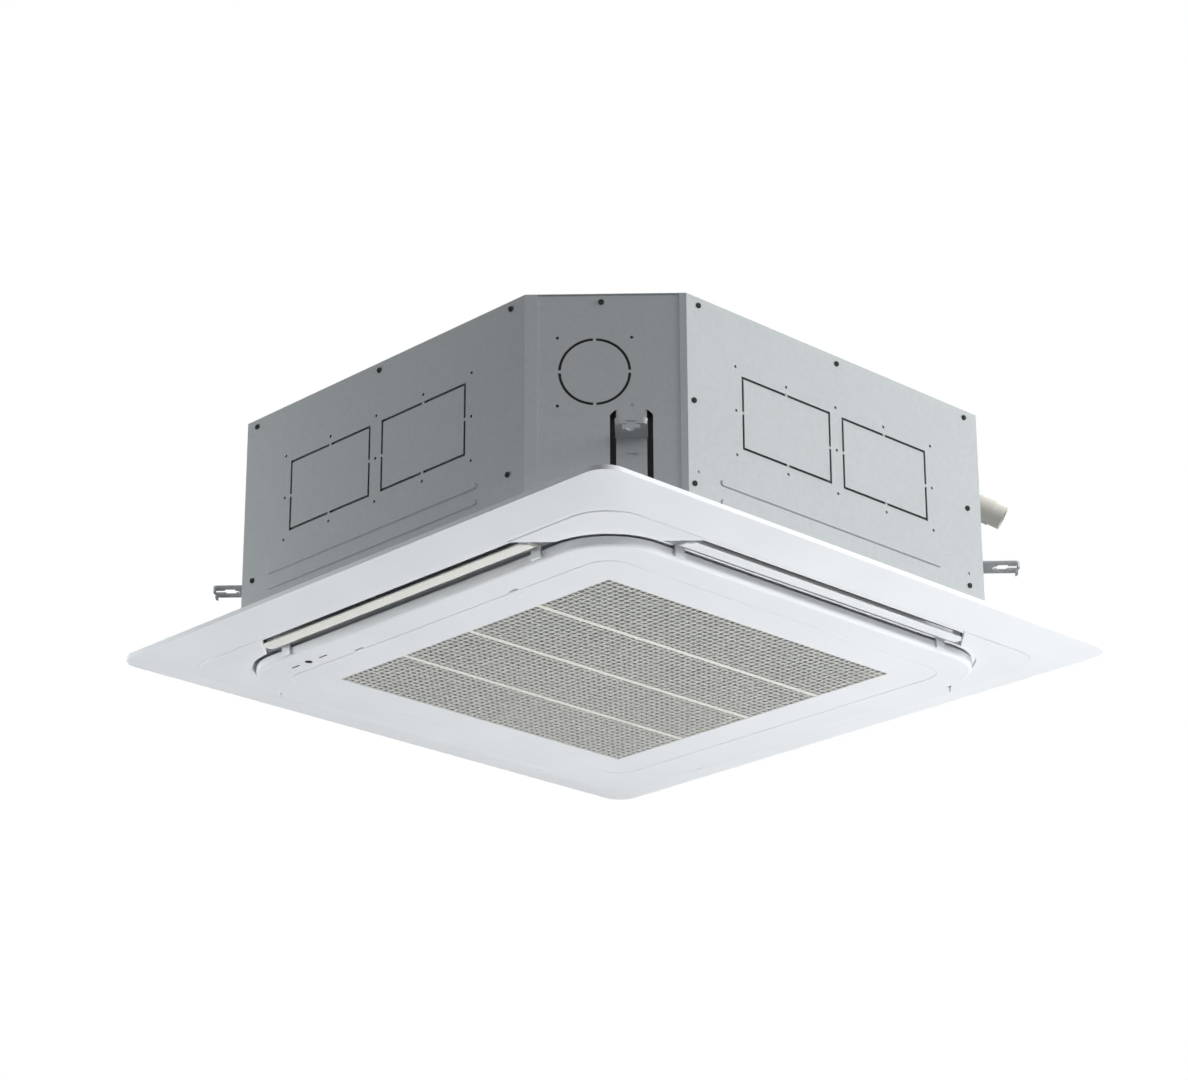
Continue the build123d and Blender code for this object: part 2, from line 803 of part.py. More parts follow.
def liquid_header():
    start = coil_end_x + coil_plate
    row = coil_rows[0]
    levels = coil_bend_levels[1:-1]
    header = rod(liquid_header_radius, (liquid_header_x, row, levels[0] - liquid_header_end),
                 (liquid_header_x, row, levels[-1] + liquid_header_end))
    for level in levels:
        header += rod(liquid_feeder_radius, (start, row, level), (liquid_header_x, row, level))
    header += rod(liquid_pipe_radius, (liquid_header_x, row, liquid_level),
                  (liquid_header_x, pipe_joint, liquid_level))
    return header


def service_pipe(x, z, pipe_radius, union_radius):
    """Refrigerant pipe through the back panel, ending in a male flare union with its hexagon."""
    end = casing_half + pipe_reach
    union_start = end - union_length
    bore = pipe_radius - pipe_wall
    hexagon_plane = Plane(origin=(x, union_start - hexagon_length, z), z_dir=(0, 1, 0))
    hexagon = hexagon_plane * RegularPolygon(union_radius + hexagon_margin, 6)
    pipe = rod(pipe_radius, (x, pipe_joint, z), (x, union_start, z))
    pipe += extrude(hexagon, amount=hexagon_length)
    pipe += rod(union_radius, (x, union_start, z), (x, end, z))
    return pipe - rod(bore, (x, pipe_joint - 1, z), (x, end + 1, z))


def build_coil():
    save("coil_fins", coil_fins())
    save_group("coil_end_plates", coil_end_plates())
    bends = [return_bend(x, z) for x in coil_rows for z in coil_bend_levels]
    save_group("coil_tubes", bends + [gas_header(), liquid_header()])
    save("gas_pipe", service_pipe(gas_header_x, gas_level, gas_pipe_radius, gas_union_radius))
    save("liquid_pipe", service_pipe(liquid_header_x, liquid_level, liquid_pipe_radius, liquid_union_radius))


# ---------------------------------------------------------------- drain
def drain_pan():
    outline = octagon(pan_outer, duct_diagonal - foam_gap) - square(pan_inner, pan_inner_bend)
    pan = prism(outline, flange_top, pan_top)
    trough = square(coil_outer + coil_clear, coil_outer_bend + coil_clear)
    trough -= square(coil_inner - coil_clear, coil_inner_bend - coil_clear)
    pan -= prism(trough, trough_floor, pan_top + 1)
    pan -= prism(square(bell_plate_half + bell_plate_gap), flange_top - 1, bell_level)
    sump = rod(sump_radius, (0, -pump_distance, sump_floor), (0, -pump_distance, pan_top + 1))
    return pan - to_corner(1, sump)


def drain_pump():
    """Pump housing on three legs, its motor on top and its outlet bent up into a riser stub."""
    base = sump_floor + pump_leg
    roof = base + pump_housing_height
    centre = (0, -pump_distance)
    pump = rod(pump_housing_radius, (*centre, base), (*centre, roof))
    pump += rod(pump_motor_radius, (*centre, roof), (*centre, roof + pump_motor_height))
    outlet_z = base + pump_housing_height / 2
    pump += rod(riser_radius, (*centre, outlet_z), (0, -riser_distance, outlet_z))
    pump += Pos(0, -riser_distance, outlet_z) * Sphere(riser_radius)
    pump += rod(riser_radius, (0, -riser_distance, outlet_z), (0, -riser_distance, riser_joint))
    for angle in (30, 150, 270):
        reach = pump_housing_radius - pump_leg_inset
        leg_x = reach * cos(radians(angle))
        leg_y = reach * sin(radians(angle)) - pump_distance
        pump += rod(pump_leg_radius, (leg_x, leg_y, sump_floor), (leg_x, leg_y, base + 1))
    pump -= rod(pump_housing_radius - pump_wall, (*centre, base + pump_wall), (*centre, roof - pump_wall))
    pump -= rod(pump_inlet_radius, (*centre, base - 1), (*centre, base + pump_wall + 1))
    riser_bore = riser_radius - riser_wall
    pump -= rod(riser_bore, (0, -riser_distance, outlet_z), (0, -riser_distance, riser_joint + 1))
    pump -= rod(riser_bore, (*centre, outlet_z), (0, -riser_distance, outlet_z))
    shaft_bore = pump_shaft_radius + shaft_running
    return pump - rod(shaft_bore, (*centre, roof - pump_wall - 1), (*centre, roof + pump_shaft_depth))


def pump_impeller():
    """Small radial impeller on its own stub shaft."""
    base = sump_floor + pump_leg + pump_wall + impeller_gap
    roof = sump_floor + pump_leg + pump_housing_height
    centre = (0, -pump_distance)
    disc_low = base + impeller_height - impeller_disc
    wheel = rod(impeller_radius, (*centre, disc_low), (*centre, base + impeller_height))
    for turn in range(4):
        blade = block((0, impeller_radius - 1), (-impeller_blade / 2, impeller_blade / 2),
                      (base, disc_low + impeller_disc / 2))
        wheel += Pos(0, -pump_distance, 0) * Rot(0, 0, 90 * turn) * blade
    wheel += rod(impeller_hub_radius, (*centre, base), (*centre, base + impeller_height + 1))
    return wheel + rod(pump_shaft_radius, (*centre, base), (*centre, roof + pump_shaft_reach))


def float_switch():
    """Float switch stem hung from an arm that stands on the pan's rim."""
    x, y = float_s, -float_distance
    arm_low = pan_top + float_travel
    arm_top = arm_low + float_arm
    stem_low = trough_floor + float_stem_gap
    edge = duct_diagonal - foam_gap
    foot = (float_foot[1] - edge, float_foot[0] - edge)
    arm_x = (x - float_arm_half, x + float_arm_half)
    switch = block(arm_x, foot, (pan_top, arm_top))
    switch += block(arm_x, (foot[0], y + float_arm_half), (arm_low, arm_top))
    switch += rod(float_stem_radius, (x, y, stem_low), (x, y, arm_low))
    return switch + rod(float_stem_radius + float_stop, (x, y, stem_low), (x, y, stem_low + float_stop))


def pump_float():
    low = trough_floor + float_stem_gap + float_stop + float_bore_gap
    start = (float_s, -float_distance, low)
    end = (float_s, -float_distance, low + float_height)
    return tube(float_radius, float_stem_radius + float_bore_gap, start, end)


def drain_outlet():
    """Riser from the pump, turned out through the corner into a drooping hose spigot."""
    droop = radians(outlet_droop)
    knee = Vector(0, -casing_diagonal - outlet_bend_reach, outlet_level)
    away = Vector(0, -cos(droop), -sin(droop))
    collar_end = knee + away * outlet_collar_length
    pipe_end = collar_end + away * outlet_pipe_length
    elbow = (0, -riser_distance, outlet_level)
    outlet = rod(riser_radius, (0, -riser_distance, riser_joint), elbow)
    outlet += Pos(*elbow) * Sphere(riser_radius)
    collar_start = -duct_diagonal - outlet_collar_lap
    outlet += rod(riser_radius, elbow, (0, collar_start - outlet_collar_lap, outlet_level))
    outlet += rod(outlet_collar_radius, (0, collar_start, outlet_level), knee)
    outlet += Pos(*knee) * Sphere(outlet_collar_radius)
    outlet += rod(outlet_collar_radius, knee, collar_end)
    outlet += rod(outlet_radius, knee, pipe_end)
    outlet -= rod(outlet_radius - outlet_wall, knee + away, pipe_end + away)
    outlet -= rod(riser_radius - riser_wall, (0, -riser_distance, outlet_level), knee)
    return outlet - rod(riser_radius - riser_wall, (0, -riser_distance, riser_joint - 1), elbow)


def build_drain():
    save("drain_pan", drain_pan())
    save("drain_pump", to_corner(1, drain_pump()))
    save("pump_impeller", to_corner(1, pump_impeller()))
    save("float_switch", to_corner(1, float_switch()))
    save("pump_float", to_corner(1, pump_float()))
    save("drain_outlet", to_corner(1, drain_outlet()))


# ---------------------------------------------------------------- fan
def bell_mouth():
    """Square plate under the drain pan, flared up into a round throat."""
    centre_r = bell_throat_radius + bell_curve
    centre_z = flange_top + bell_curve
    quarter = Circle(bell_curve) - Circle(bell_curve - bell_plate)
    quarter &= Pos(-bell_curve / 2, -bell_curve / 2) * Rectangle(bell_curve, bell_curve)
    profile = Pos(centre_r, centre_z) * quarter
    profile += Pos(bell_throat_radius + bell_plate / 2, (centre_z + bell_top) / 2) * Rectangle(
        bell_plate, bell_top - centre_z)
    plate = prism(square(bell_plate_half) - Circle(centre_r), flange_top, bell_level)
    return plate + around(profile)


def blade_outline():
    """Backward-curved blade between the hub and the rim, seen from above."""
    sweep = radians(blade_sweep)
    inner = Vector(blade_inner_radius - blade_overrun, 0)
    outer = Vector(cos(sweep), sin(sweep)) * (rotor_radius + blade_overrun)
    chord = outer - inner
    middle = inner + chord * 0.5 + Vector(chord.Y, -chord.X) * blade_bow
    side = Vector(-chord.Y, chord.X).normalized() * blade_thickness
    near = ThreePointArc(inner, middle, outer)
    far = ThreePointArc(outer + side, middle + side, inner + side)
    return make_face([near, Line(outer, outer + side), far, Line(inner + side, inner)])


def fan_rotor():
    web = rotor_web
    inlet = shroud_inlet_radius
    lower_x, lower_z = shroud_lower_knee
    upper_x, upper_z = shroud_upper_knee
    shroud = [(inlet, shroud_low), (inlet + web, shroud_low), (inlet + lower_x, shroud_low + lower_z),
              (rotor_radius, shroud_low + shroud_rise), (rotor_radius, shroud_low + shroud_rise + web),
              (inlet + upper_x, shroud_low + upper_z), (inlet, shroud_low + shroud_foot)]
    cone = [(rotor_hub_radius + cone_wall, rotor_top - web), (rotor_hub_radius + cone_wall, rotor_top),
            (rotor_hub_radius, rotor_top), (nose_radius, nose_low + web), (nose_radius, nose_low),
            (nose_radius + cone_wall, nose_low)]
    rotor = around(Polygon(*shroud, align=None)) + around(Polygon(*cone, align=None))
    rotor += prism(Circle(rotor_radius) - Circle(rotor_hub_radius + 1), rotor_top - web, rotor_top)
    nose = Circle(nose_radius + 1)
    for turn in range(vent_count):
        nose -= Rot(0, 0, 360 / vent_count * turn) * Pos(vent_circle, 0) * Circle(vent_radius)
    rotor += prism(nose, nose_low, nose_low + web)
    rotor += prism(Circle(boss_radius), boss_low, nose_low + web)
    blade_top = rotor_top - web / 2
    envelope = [(blade_inner_radius, blade_top), (rotor_radius - 1, blade_top),
                (rotor_radius - 1, shroud_low + shroud_rise + web / 2),
                (inlet + (lower_x + upper_x) / 2, shroud_low + (lower_z + upper_z) / 2),
                (inlet + blade_bite, shroud_low + shroud_foot), (blade_inner_radius, rotor_top - blade_rise)]
    swept = around(Polygon(*envelope, align=None))
    blade = prism(blade_outline(), shroud_low, blade_top) & swept
    for turn in range(blade_count):
        rotor += Rot(0, 0, 360 / blade_count * turn) * blade
    return rotor - rod(shaft_radius + shaft_press, (0, 0, boss_low - 1), (0, 0, nose_low + web + 1))


def hub_nut():
    nut = prism(RegularPolygon(nut_flats / 2, 6, major_radius=False), boss_low - nut_height, boss_low)
    return nut - rod(shaft_radius + shaft_press, (0, 0, boss_low - nut_height - 1), (0, 0, boss_low + 1))


def motor_shaft():
    return rod(shaft_radius, (0, 0, shaft_low), (0, 0, shaft_high))


def fan_motor():
    body = rod(motor_radius, (0, 0, motor_low), (0, 0, motor_high))
    body = fillet(body.edges().filter_by(GeomType.CIRCLE), motor_round)
    body += rod(motor_boss_radius, (0, 0, motor_low - motor_boss), (0, 0, motor_low + 1))
    ear = block((-motor_ear_half, motor_ear_half),
                (-motor_radius - motor_ear_reach, motor_ear_root - motor_radius),
                (motor_high - motor_ear, motor_high))
    for k in range(4):
        body += to_corner(k, ear)
    return body - rod(shaft_radius + shaft_running, (0, 0, motor_low - motor_boss - 1),
                      (0, 0, shaft_high + shaft_end_gap))


def motor_bracket():
    """Round plate over the motor, hung from the top plate by four legs with inward feet."""
    low = motor_high
    bracket = prism(Circle(motor_plate_radius) - Circle(motor_radius / 2), low, low + bracket_plate)
    half = motor_leg_width / 2
    edge = sqrt(motor_plate_radius ** 2 - half ** 2)
    leg = block((-half, half), (-edge, bracket_plate - edge), (low, plate_low))
    leg += block((-half, half), (-edge, motor_foot - edge), (plate_low - bracket_plate, plate_low))
    foot_y = motor_plate_radius - motor_foot / 2
    leg -= rod(screw_hole_radius, (0, -foot_y, plate_low - 2 * bracket_plate), (0, -foot_y, plate_low + 1))
    for k in range(4):
        bracket += to_corner(k, leg)
    return bracket


def build_fan():
    save("bell_mouth", bell_mouth())
    save("fan_rotor", fan_rotor())
    save("hub_nut", hub_nut())
    save("motor_shaft", motor_shaft())
    save("fan_motor", fan_motor())
    save("motor_bracket", motor_bracket())


# ---------------------------------------------------------------- controls
def control_box():
    x = (-box_half_length, box_half_length)
    y = (box_far, box_near)
    box = block(x, y, (box_low, flange_top))
    box -= block((x[0] + box_wall, x[1] - box_wall), (y[0] + box_wall, y[1] - box_wall),
                 (box_low - 1, flange_top - box_wall))
    for post_x in (post_inset[0] - box_half_length, post_end):
        for post_y in (box_far + post_inset[1], box_near - post_inset[1]):
            box += rod(post_radius, (post_x, post_y, board_level + board_thickness),
                       (post_x, post_y, flange_top - 1))
    return box


def control_box_lid():
    x = (-box_half_length, box_half_length)
    return block(x, (box_far, box_near), (box_low - lid_thickness, box_low))


def circuit_board():
    """Board hung from the posts, with its larger parts on the lower face."""
    x = (board_inset_x - box_half_length, board_end)
    y = (box_far + board_inset_y, box_near - board_inset_y)
    board = block(x, y, (board_level, board_level + board_thickness))
    for part_x, part_y, width, depth, height in board_parts:
        half_x = width / 2
        half_y = depth / 2
        board += block((part_x - half_x, part_x + half_x), (part_y - half_y, part_y + half_y),
                       (board_level - height, board_level + board_thickness / 2))
    return board


def terminal_block():
    y = (box_far + terminal_y[0], box_far + terminal_y[1])
    screw_y = (y[0] + y[1]) / 2
    ceiling = flange_top - box_wall
    low = ceiling - terminal_height
    body = block(terminal_x, y, (low, ceiling))
    for pole in range(terminal_count):
        left = terminal_x[0] + terminal_margin + terminal_pitch * pole
        middle = left + terminal_pocket / 2
        body -= block((left, left + terminal_pocket), (y[0] + terminal_margin, y[1] - terminal_margin),
                      (low - 1, ceiling - terminal_pocket_top))
        body += rod(terminal_screw_radius, (middle, screw_y, ceiling - terminal_screw[0]),
                    (middle, screw_y, ceiling - terminal_screw[1]))
    return body


def build_controls():
    save("control_box", control_box())
    save("control_box_lid", control_box_lid())
    save("circuit_board", circuit_board())
    save("terminal_block", terminal_block())


# ---------------------------------------------------------------- decoration panel
def slope(half, corner, high, low_half, low_corner, low):
    """Sloped solid between a rounded square and a smaller one below it."""
    return loft([Pos(0, 0, high) * square(half, corner), Pos(0, 0, low) * square(low_half, low_corner)],
                ruled=True)


def rim_shell():
    half = panel_side / 2
    outer = prism(square(half, panel_corner), -rim_height, 0)
    outer += slope(half, panel_corner, -rim_height, step_half, step_corner, panel_face)
    inner_half = half - rim_wall
    inner_corner = panel_corner - rim_wall
    inner = prism(square(inner_half, inner_corner), skin - rim_height, 1)
    inner += slope(inner_half, inner_corner, skin - rim_height, step_half - skin, step_corner - skin,
                   panel_face + skin)
    return outer - inner


def face_pocket_outline():
    """What is set back in the panel's face: everything but the four strips beside the outlets."""
    strips = octagon(step_half + skin, mitre - 0.5) - square(strip_half)
    return square(cover_half, cover_corner) - strips


def channels():
    """The four air outlet channels, seen from below."""
    return octagon(strip_half, mitre) - square(outlet_inner)


def channel_walls():
    walls = prism(octagon(strip_half + channel_wall, seal_diagonal) - octagon(strip_half, mitre),
                  frame_plate_low, seal_level)
    inner = square(outlet_inner) - square(outlet_inner - channel_wall)
    inner &= octagon(strip_half, mitre + 1)
    roof_top = channel_roof + channel_wall
    walls += prism(inner, frame_plate_low, roof_top)
    roof = octagon(strip_half + 1, mitre + 1) - square(outlet_inner - 1)
    walls += prism(roof, channel_roof, roof_top)
    walls += prism(octagon(seal_outer, seal_diagonal) - octagon(seal_inner, mitre - seal_lap),
                   seal_level - channel_wall, seal_level)
    for k in range(4):
        end = duct_half + channel_wall
        collar = block((-end, end), (-strip_half, -outlet_inner + channel_wall), (roof_top - 1, collar_top))
        walls += to_side(k, collar - block((-end - 1, end + 1), (-strip_half - 1, -strip_half + 1),
                                           (seal_level, collar_top + 1)))
    for k in range(4):
        walls -= to_side(k, block((-duct_half, duct_half), (-strip_half, -outlet_inner),
                                  (channel_roof - 1, collar_top + 1)))
    return walls


def motor_cradle():
    """Seat for a vane motor beside the right-hand end of the front outlet."""
    reach = vane_motor_radius + cradle_wall
    return block((vane_motor_x + cradle_inset, vane_motor_x + vane_motor_length - cradle_inset),
                 (vane_axis_y - reach, vane_axis_y + reach),
                 (frame_plate_top - 1, vane_motor_z - cradle_drop))


def motor_space():
    """Room for a vane motor, and for the pin between its outlet wall and the motor."""
    start = (vane_motor_x - vane_motor_end_gap, vane_axis_y, vane_motor_z)
    end = (vane_motor_x + vane_motor_length + vane_motor_end_gap, vane_axis_y, vane_motor_z)
    space = rod(vane_motor_radius + vane_motor_seat, start, end)
    return space + rod(vane_pin_radius + 2 * vane_motor_seat,
                       (bush_x + bush_length, vane_axis_y, vane_axis_z),
                       (vane_motor_x, vane_axis_y, vane_axis_z))


def fixing_boss():
    return rod(fixing_boss_radius, (fixing_s, -fixing_distance, frame_plate_top - 1),
               (fixing_s, -fixing_distance, casing_floor))


def fixing_hole():
    x, y = fixing_s, -fixing_distance
    low = frame_plate_low - 1
    hole = rod(fixing_shank_radius + fixing_hole_gap, (x, y, low), (x, y, casing_floor + 1))
    return hole + rod(fixing_head_radius + fixing_head_gap, (x, y, low), (x, y, fixing_recess_top))


def hinge_arms():
    """Four arms under the back edge that hold the two grille hinge pins."""
    arms = []
    lug = hinge_lug / 2 + hinge_gap
    for centre in (-hinge_x, hinge_x):
        for x in (centre - lug - hinge_arm, centre + lug):
            arm = block((x, x + hinge_arm), (hinge_y - knuckle_radius, hinge_y + knuckle_radius),
                        (hinge_z, frame_plate_top - 1))
            arm += rod(knuckle_radius, (x, hinge_y, hinge_z), (x + hinge_arm, hinge_y, hinge_z))
            arms.append(arm - rod(hinge_pin_radius + hinge_running, (x - 1, hinge_y, hinge_z),
                                  (x + hinge_arm + 1, hinge_y, hinge_z)))
    return arms


def latch_catches():
    """Two hooks screwed up against the frame, which the grille latches slide over."""
    hooks = []
    lip_top = latch_nose[0] - latch_lift
    lip_y = latch_tip - latch_release
    post_y = lip_y - latch_travel
    for centre in (-latch_x, latch_x):
        x = (centre - latch_half, centre + latch_half)
        hook = block(x, (post_y - catch_post, post_y), (lip_top - catch_lip, frame_plate_low))
        hooks.append(hook + block(x, (post_y - 1, lip_y), (lip_top - catch_lip, lip_top)))
    return hooks


def guide_tabs():
    """Small fences beside the ends of an outlet, between the vane and the grille."""
    tabs = []
    for x in (guide_x, (-guide_x[1], -guide_x[0])):
        tabs.append(block(x, (-outlet_inner - guide_face, guide_depth - outlet_inner),
                          (guide_low, frame_plate_low + 1)))
    return tabs


def panel_frame():
    frame = rim_shell() + prism(square(step_half - plate_inset, step_corner - plate_inset),
                                frame_plate_low, frame_plate_top)
    frame -= prism(face_pocket_outline(), panel_face - 1, frame_plate_low)
    frame -= prism(channels(), panel_face - 1, frame_plate_top + 1)
    frame += channel_walls()
    opening = square(opening_half, opening_corner)
    frame += prism(square(opening_half + channel_wall, opening_corner + channel_wall),
                   frame_plate_low, opening_wall_top)
    frame -= prism(opening, frame_plate_low - 1, opening_wall_top + 1)
    for k in range(4):
        frame += to_side(k, motor_cradle())
        frame += to_corner(k, fixing_boss())
        if sides[k] != "back":
            frame += [to_side(k, tab) for tab in guide_tabs()]
    for k in range(4):
        frame -= to_side(k, motor_space())
        frame -= to_corner(k, fixing_hole())
        adjust = Pos(0, -adjust_distance) * RectangleRounded(adjust_length, adjust_width, adjust_corner)
        frame -= to_corner(k, prism(adjust, panel_face - 1, casing_floor))
        for s in (-peg_s, peg_s):
            frame -= to_corner(k, rod(peg_radius + cover_gap, (s, -peg_distance, panel_face),
                                      (s, -peg_distance, frame_plate_top + 1)))
        for x in (-bush_x - bush_length, bush_x):
            frame -= to_side(k, rod(bush_radius + bush_running, (x, vane_axis_y, vane_axis_z),
                                    (x + bush_length, vane_axis_y, vane_axis_z)))
    frame += hinge_arms()
    return frame


def panel_gasket():
    ring = octagon(seal_outer, seal_diagonal) - octagon(seal_inner + cover_gap, mitre - seal_lap + cover_gap)
    return prism(ring, seal_level, casing_floor)


def corner_cover():
    """Removable cover over the hanger opening, drawn as if its corner faced -Y."""
    outline = square(cover_half - cover_gap, cover_corner - cover_gap)
    outline -= square(grille_half + cover_grille_gap, grille_corner + cover_grille_gap)
    outline -= octagon(2 * cover_half, mitre)
    outline &= Pos(cover_half, -cover_half) * square(cover_half)
    cover = Rot(0, 0, -45) * prism(outline, cover_level, frame_plate_low)
    cover = chamfer(cover.faces().sort_by(Axis.Z)[0].edges(), cover_edge)
    for s in (-peg_s, peg_s):
        cover += rod(peg_radius, (s, -peg_distance, frame_plate_low - 1), (s, -peg_distance, peg_top))
    return cover


def panel_screw():
    x, y = fixing_s, -fixing_distance
    head = rod(fixing_head_radius, (x, y, fixing_recess_top - fixing_head), (x, y, fixing_recess_top))
    long, short = fixing_drive
    cross = Rectangle(long, short) + Rectangle(short, long)
    head -= prism(Pos(x, y) * cross, fixing_recess_top - fixing_head, fixing_recess_top - fixing_drive_end)
    return head + rod(fixing_shank_radius, (x, y, fixing_recess_top), (x, y, fixing_tip))


def build_panel():
    save("panel_frame", panel_frame())
    save("panel_gasket", panel_gasket())
    save_group("latch_catches", latch_catches())
    for k in range(4):
        save("corner_cover_" + corners[k], to_corner(k, corner_cover()))
    save_group("panel_screws", [to_corner(k, panel_screw()) for k in range(4)])


# ---------------------------------------------------------------- vanes
def vane_section():
    """Crowned section of a vane, in Y and Z."""
    outer_y, outer_z = vane_outer
    inner_y, inner_z = vane_inner
    middle_y = (outer_y + inner_y) / 2
    middle_z = (outer_z + inner_z) / 2 - vane_crown
    below = ThreePointArc((outer_y, outer_z), (middle_y, middle_z), (inner_y, inner_z))
    above = ThreePointArc((inner_y, inner_z + vane_edge), (middle_y, middle_z + vane_thickness),
                          (outer_y, outer_z + vane_edge))
    ends = [Line((inner_y, inner_z), (inner_y, inner_z + vane_edge)),
            Line((outer_y, outer_z + vane_edge), (outer_y, outer_z))]
    section = make_face([below, ends[0], above, ends[1]])
    return fillet(section.vertices(), vane_edge_round)


def vane():
    reach = vane_ear_x + vane_ear + vane_tip
    side_view = Plane(origin=(-reach, 0, 0), x_dir=(0, 1, 0), z_dir=(1, 0, 0))
    blade = extrude(side_view * vane_section(), amount=2 * reach)
    blade &= prism(octagon(casing_half, mitre - vane_end_gap), 2 * panel_face, 0)
    web_low = (vane_outer[1] + vane_inner[1]) / 2 + vane_web_sink
    for x in (-vane_ear_x - vane_ear, vane_ear_x):
        ear = block((x, x + vane_ear), (vane_axis_y - vane_ear_radius, vane_axis_y + vane_ear_radius),
                    (web_low, vane_axis_z))
        blade += ear + rod(vane_ear_radius, (x, vane_axis_y, vane_axis_z),
                           (x + vane_ear, vane_axis_y, vane_axis_z))
    blade += rod(vane_pin_radius, (-vane_pin_left, vane_axis_y, vane_axis_z),
                 (-vane_ear_x - 1, vane_axis_y, vane_axis_z))
    return blade + rod(vane_pin_radius, (vane_ear_x + 1, vane_axis_y, vane_axis_z),
                       (vane_pin_right, vane_axis_y, vane_axis_z))


def vane_bushes():
    bushes = []
    for x in (-bush_x - bush_length, bush_x):
        bushes.append(tube(bush_radius, vane_pin_radius + bush_running, (x, vane_axis_y, vane_axis_z),
                           (x + bush_length, vane_axis_y, vane_axis_z)))
    return bushes


def vane_motor():
    motor = rod(vane_motor_radius, (vane_motor_x, vane_axis_y, vane_motor_z),
                (vane_motor_x + vane_motor_length, vane_axis_y, vane_motor_z))
    return motor - rod(vane_pin_radius + bush_running, (vane_motor_x - 1, vane_axis_y, vane_axis_z),
                       (vane_pin_right + vane_pin_end_gap, vane_axis_y, vane_axis_z))


def build_vanes():
    bushes = []
    for k in range(4):
        save("vane_" + sides[k], to_side(k, vane()))
        bushes.extend([to_side(k, bush) for bush in vane_bushes()])
    save_group("vane_motors", [to_side(k, vane_motor()) for k in range(4)])
    save_group("vane_bearings", bushes)


# ---------------------------------------------------------------- grille
def hinge_lugs():
    lugs = []
    half = hinge_lug / 2
    for centre in (-hinge_x, hinge_x):
        x = (centre - half, centre + half)
        lug = block(x, (hinge_y - knuckle_radius, hinge_y + knuckle_radius), (grille_skin_top - 1, hinge_z))
        lug += rod(knuckle_radius, (x[0], hinge_y, hinge_z), (x[1], hinge_y, hinge_z))
        lugs.append(lug - rod(hinge_pin_radius + hinge_running, (x[0] - 1, hinge_y, hinge_z),
                              (x[1] + 1, hinge_y, hinge_z)))
    return lugs


def latch_rails(centre):
    """Two rails that guide a latch on the inside of the grille."""
    rails = []
    for side in (-1, 1):
        edge = centre + side * (latch_half + latch_slot_gap)
        outer = edge + side * rail_width
        rails.append(block((min(edge, outer), max(edge, outer)), (latch_step - 1, latch_near),
                           (grille_skin_top - rail_sink, grille_skin_top + rail_height)))
    return rails


def indicator_outline(offset, gap=0.0):
    half_x, half_y = indicator_half
    return Pos(receiver_x + offset, receiver_y) * SlotOverall(2 * (half_x + gap), 2 * (half_y + gap))


def intake_grille():
    body = prism(square(grille_half, grille_corner), grille_face, grille_top)
    body = fillet(body.faces().sort_by(Axis.Z)[0].edges(), grille_edge)
    inside = square(grille_half - grille_wall, grille_corner - grille_wall)
    body -= prism(inside, grille_skin_top, grille_top + 1)
    body -= prism(square(window_half), grille_face - 1, grille_top)
    ring = filter_half + filter_wall_gap
    body += prism(square(ring + filter_wall) - square(ring), grille_skin_top - rail_sink, filter_wall_top)
    groove = square(groove_half, grille_corner - grille_half + groove_half)
    inner = groove_half - groove_width
    groove -= square(inner, grille_corner - grille_half + inner)
    body -= prism(groove, grille_face - 1, grille_face + groove_depth)
    notch = hinge_lug / 2 + hinge_gap + hinge_arm + 1
    for centre in (-hinge_x, hinge_x):
        body -= block((centre - notch, centre + notch), (grille_half - grille_wall - 1, grille_half + 1),
                      (grille_skin_top, grille_top + 1))
    body += hinge_lugs()
    for centre in (-latch_x, latch_x):
        body += latch_rails(centre)
        slot_x = (centre - latch_tab_half - latch_slot_gap, centre + latch_tab_half + latch_slot_gap)
        slot_y = (latch_tab[0] - latch_travel - latch_slot_gap, latch_tab[1] + latch_slot_gap)
        body -= block(slot_x, slot_y, (grille_face - 1, grille_skin_top + 0.1))
    body -= rod(receiver_radius + cover_gap, (receiver_x, receiver_y, grille_face - 1),
                (receiver_x, receiver_y, grille_skin_top + 1))
    for offset in indicator_offsets:
        body -= prism(indicator_outline(offset, cover_gap), grille_face - 1, grille_skin_top + 1)
    return body


def grille_mesh():
    """Square grid with three wider ribs, in a flat flange that lies on the grille's skin."""
    low = grille_face + mesh_recess
    sheet_outline = square(window_half - cover_gap)
    count = int(2 * window_half / mesh_pitch)
    pitch = 2 * window_half / count
    for row in range(count):
        for column in range(count):
            x = (column + 0.5) * pitch - window_half
            y = (row + 0.5) * pitch - window_half
            sheet_outline -= Pos(x, y) * Rectangle(pitch - mesh_bar, pitch - mesh_bar)
    for x in (-mesh_rib_pitch, 0, mesh_rib_pitch):
        sheet_outline += Pos(x, 0) * Rectangle(mesh_rib, 2 * (window_half - cover_gap))
    mesh = prism(sheet_outline, low, low + mesh_bar_depth)
    flange = square(mesh_flange_half) - square(window_half - mesh_rib)
    return mesh + prism(flange, grille_skin_top, grille_skin_top + mesh_flange)


def air_filter():
    """Filter net in a moulded frame with a cross, laid over the mesh."""
    low = grille_skin_top + mesh_flange
    high = low + filter_height
    frame = square(filter_half) - square(filter_half - filter_frame)
    frame += Rectangle(filter_cross, 2 * filter_half) + Rectangle(2 * filter_half, filter_cross)
    net_low = (low + high - filter_net) / 2
    net = square(filter_half - filter_net_inset)
    return prism(frame, low, high) + prism(net, net_low, net_low + filter_net)


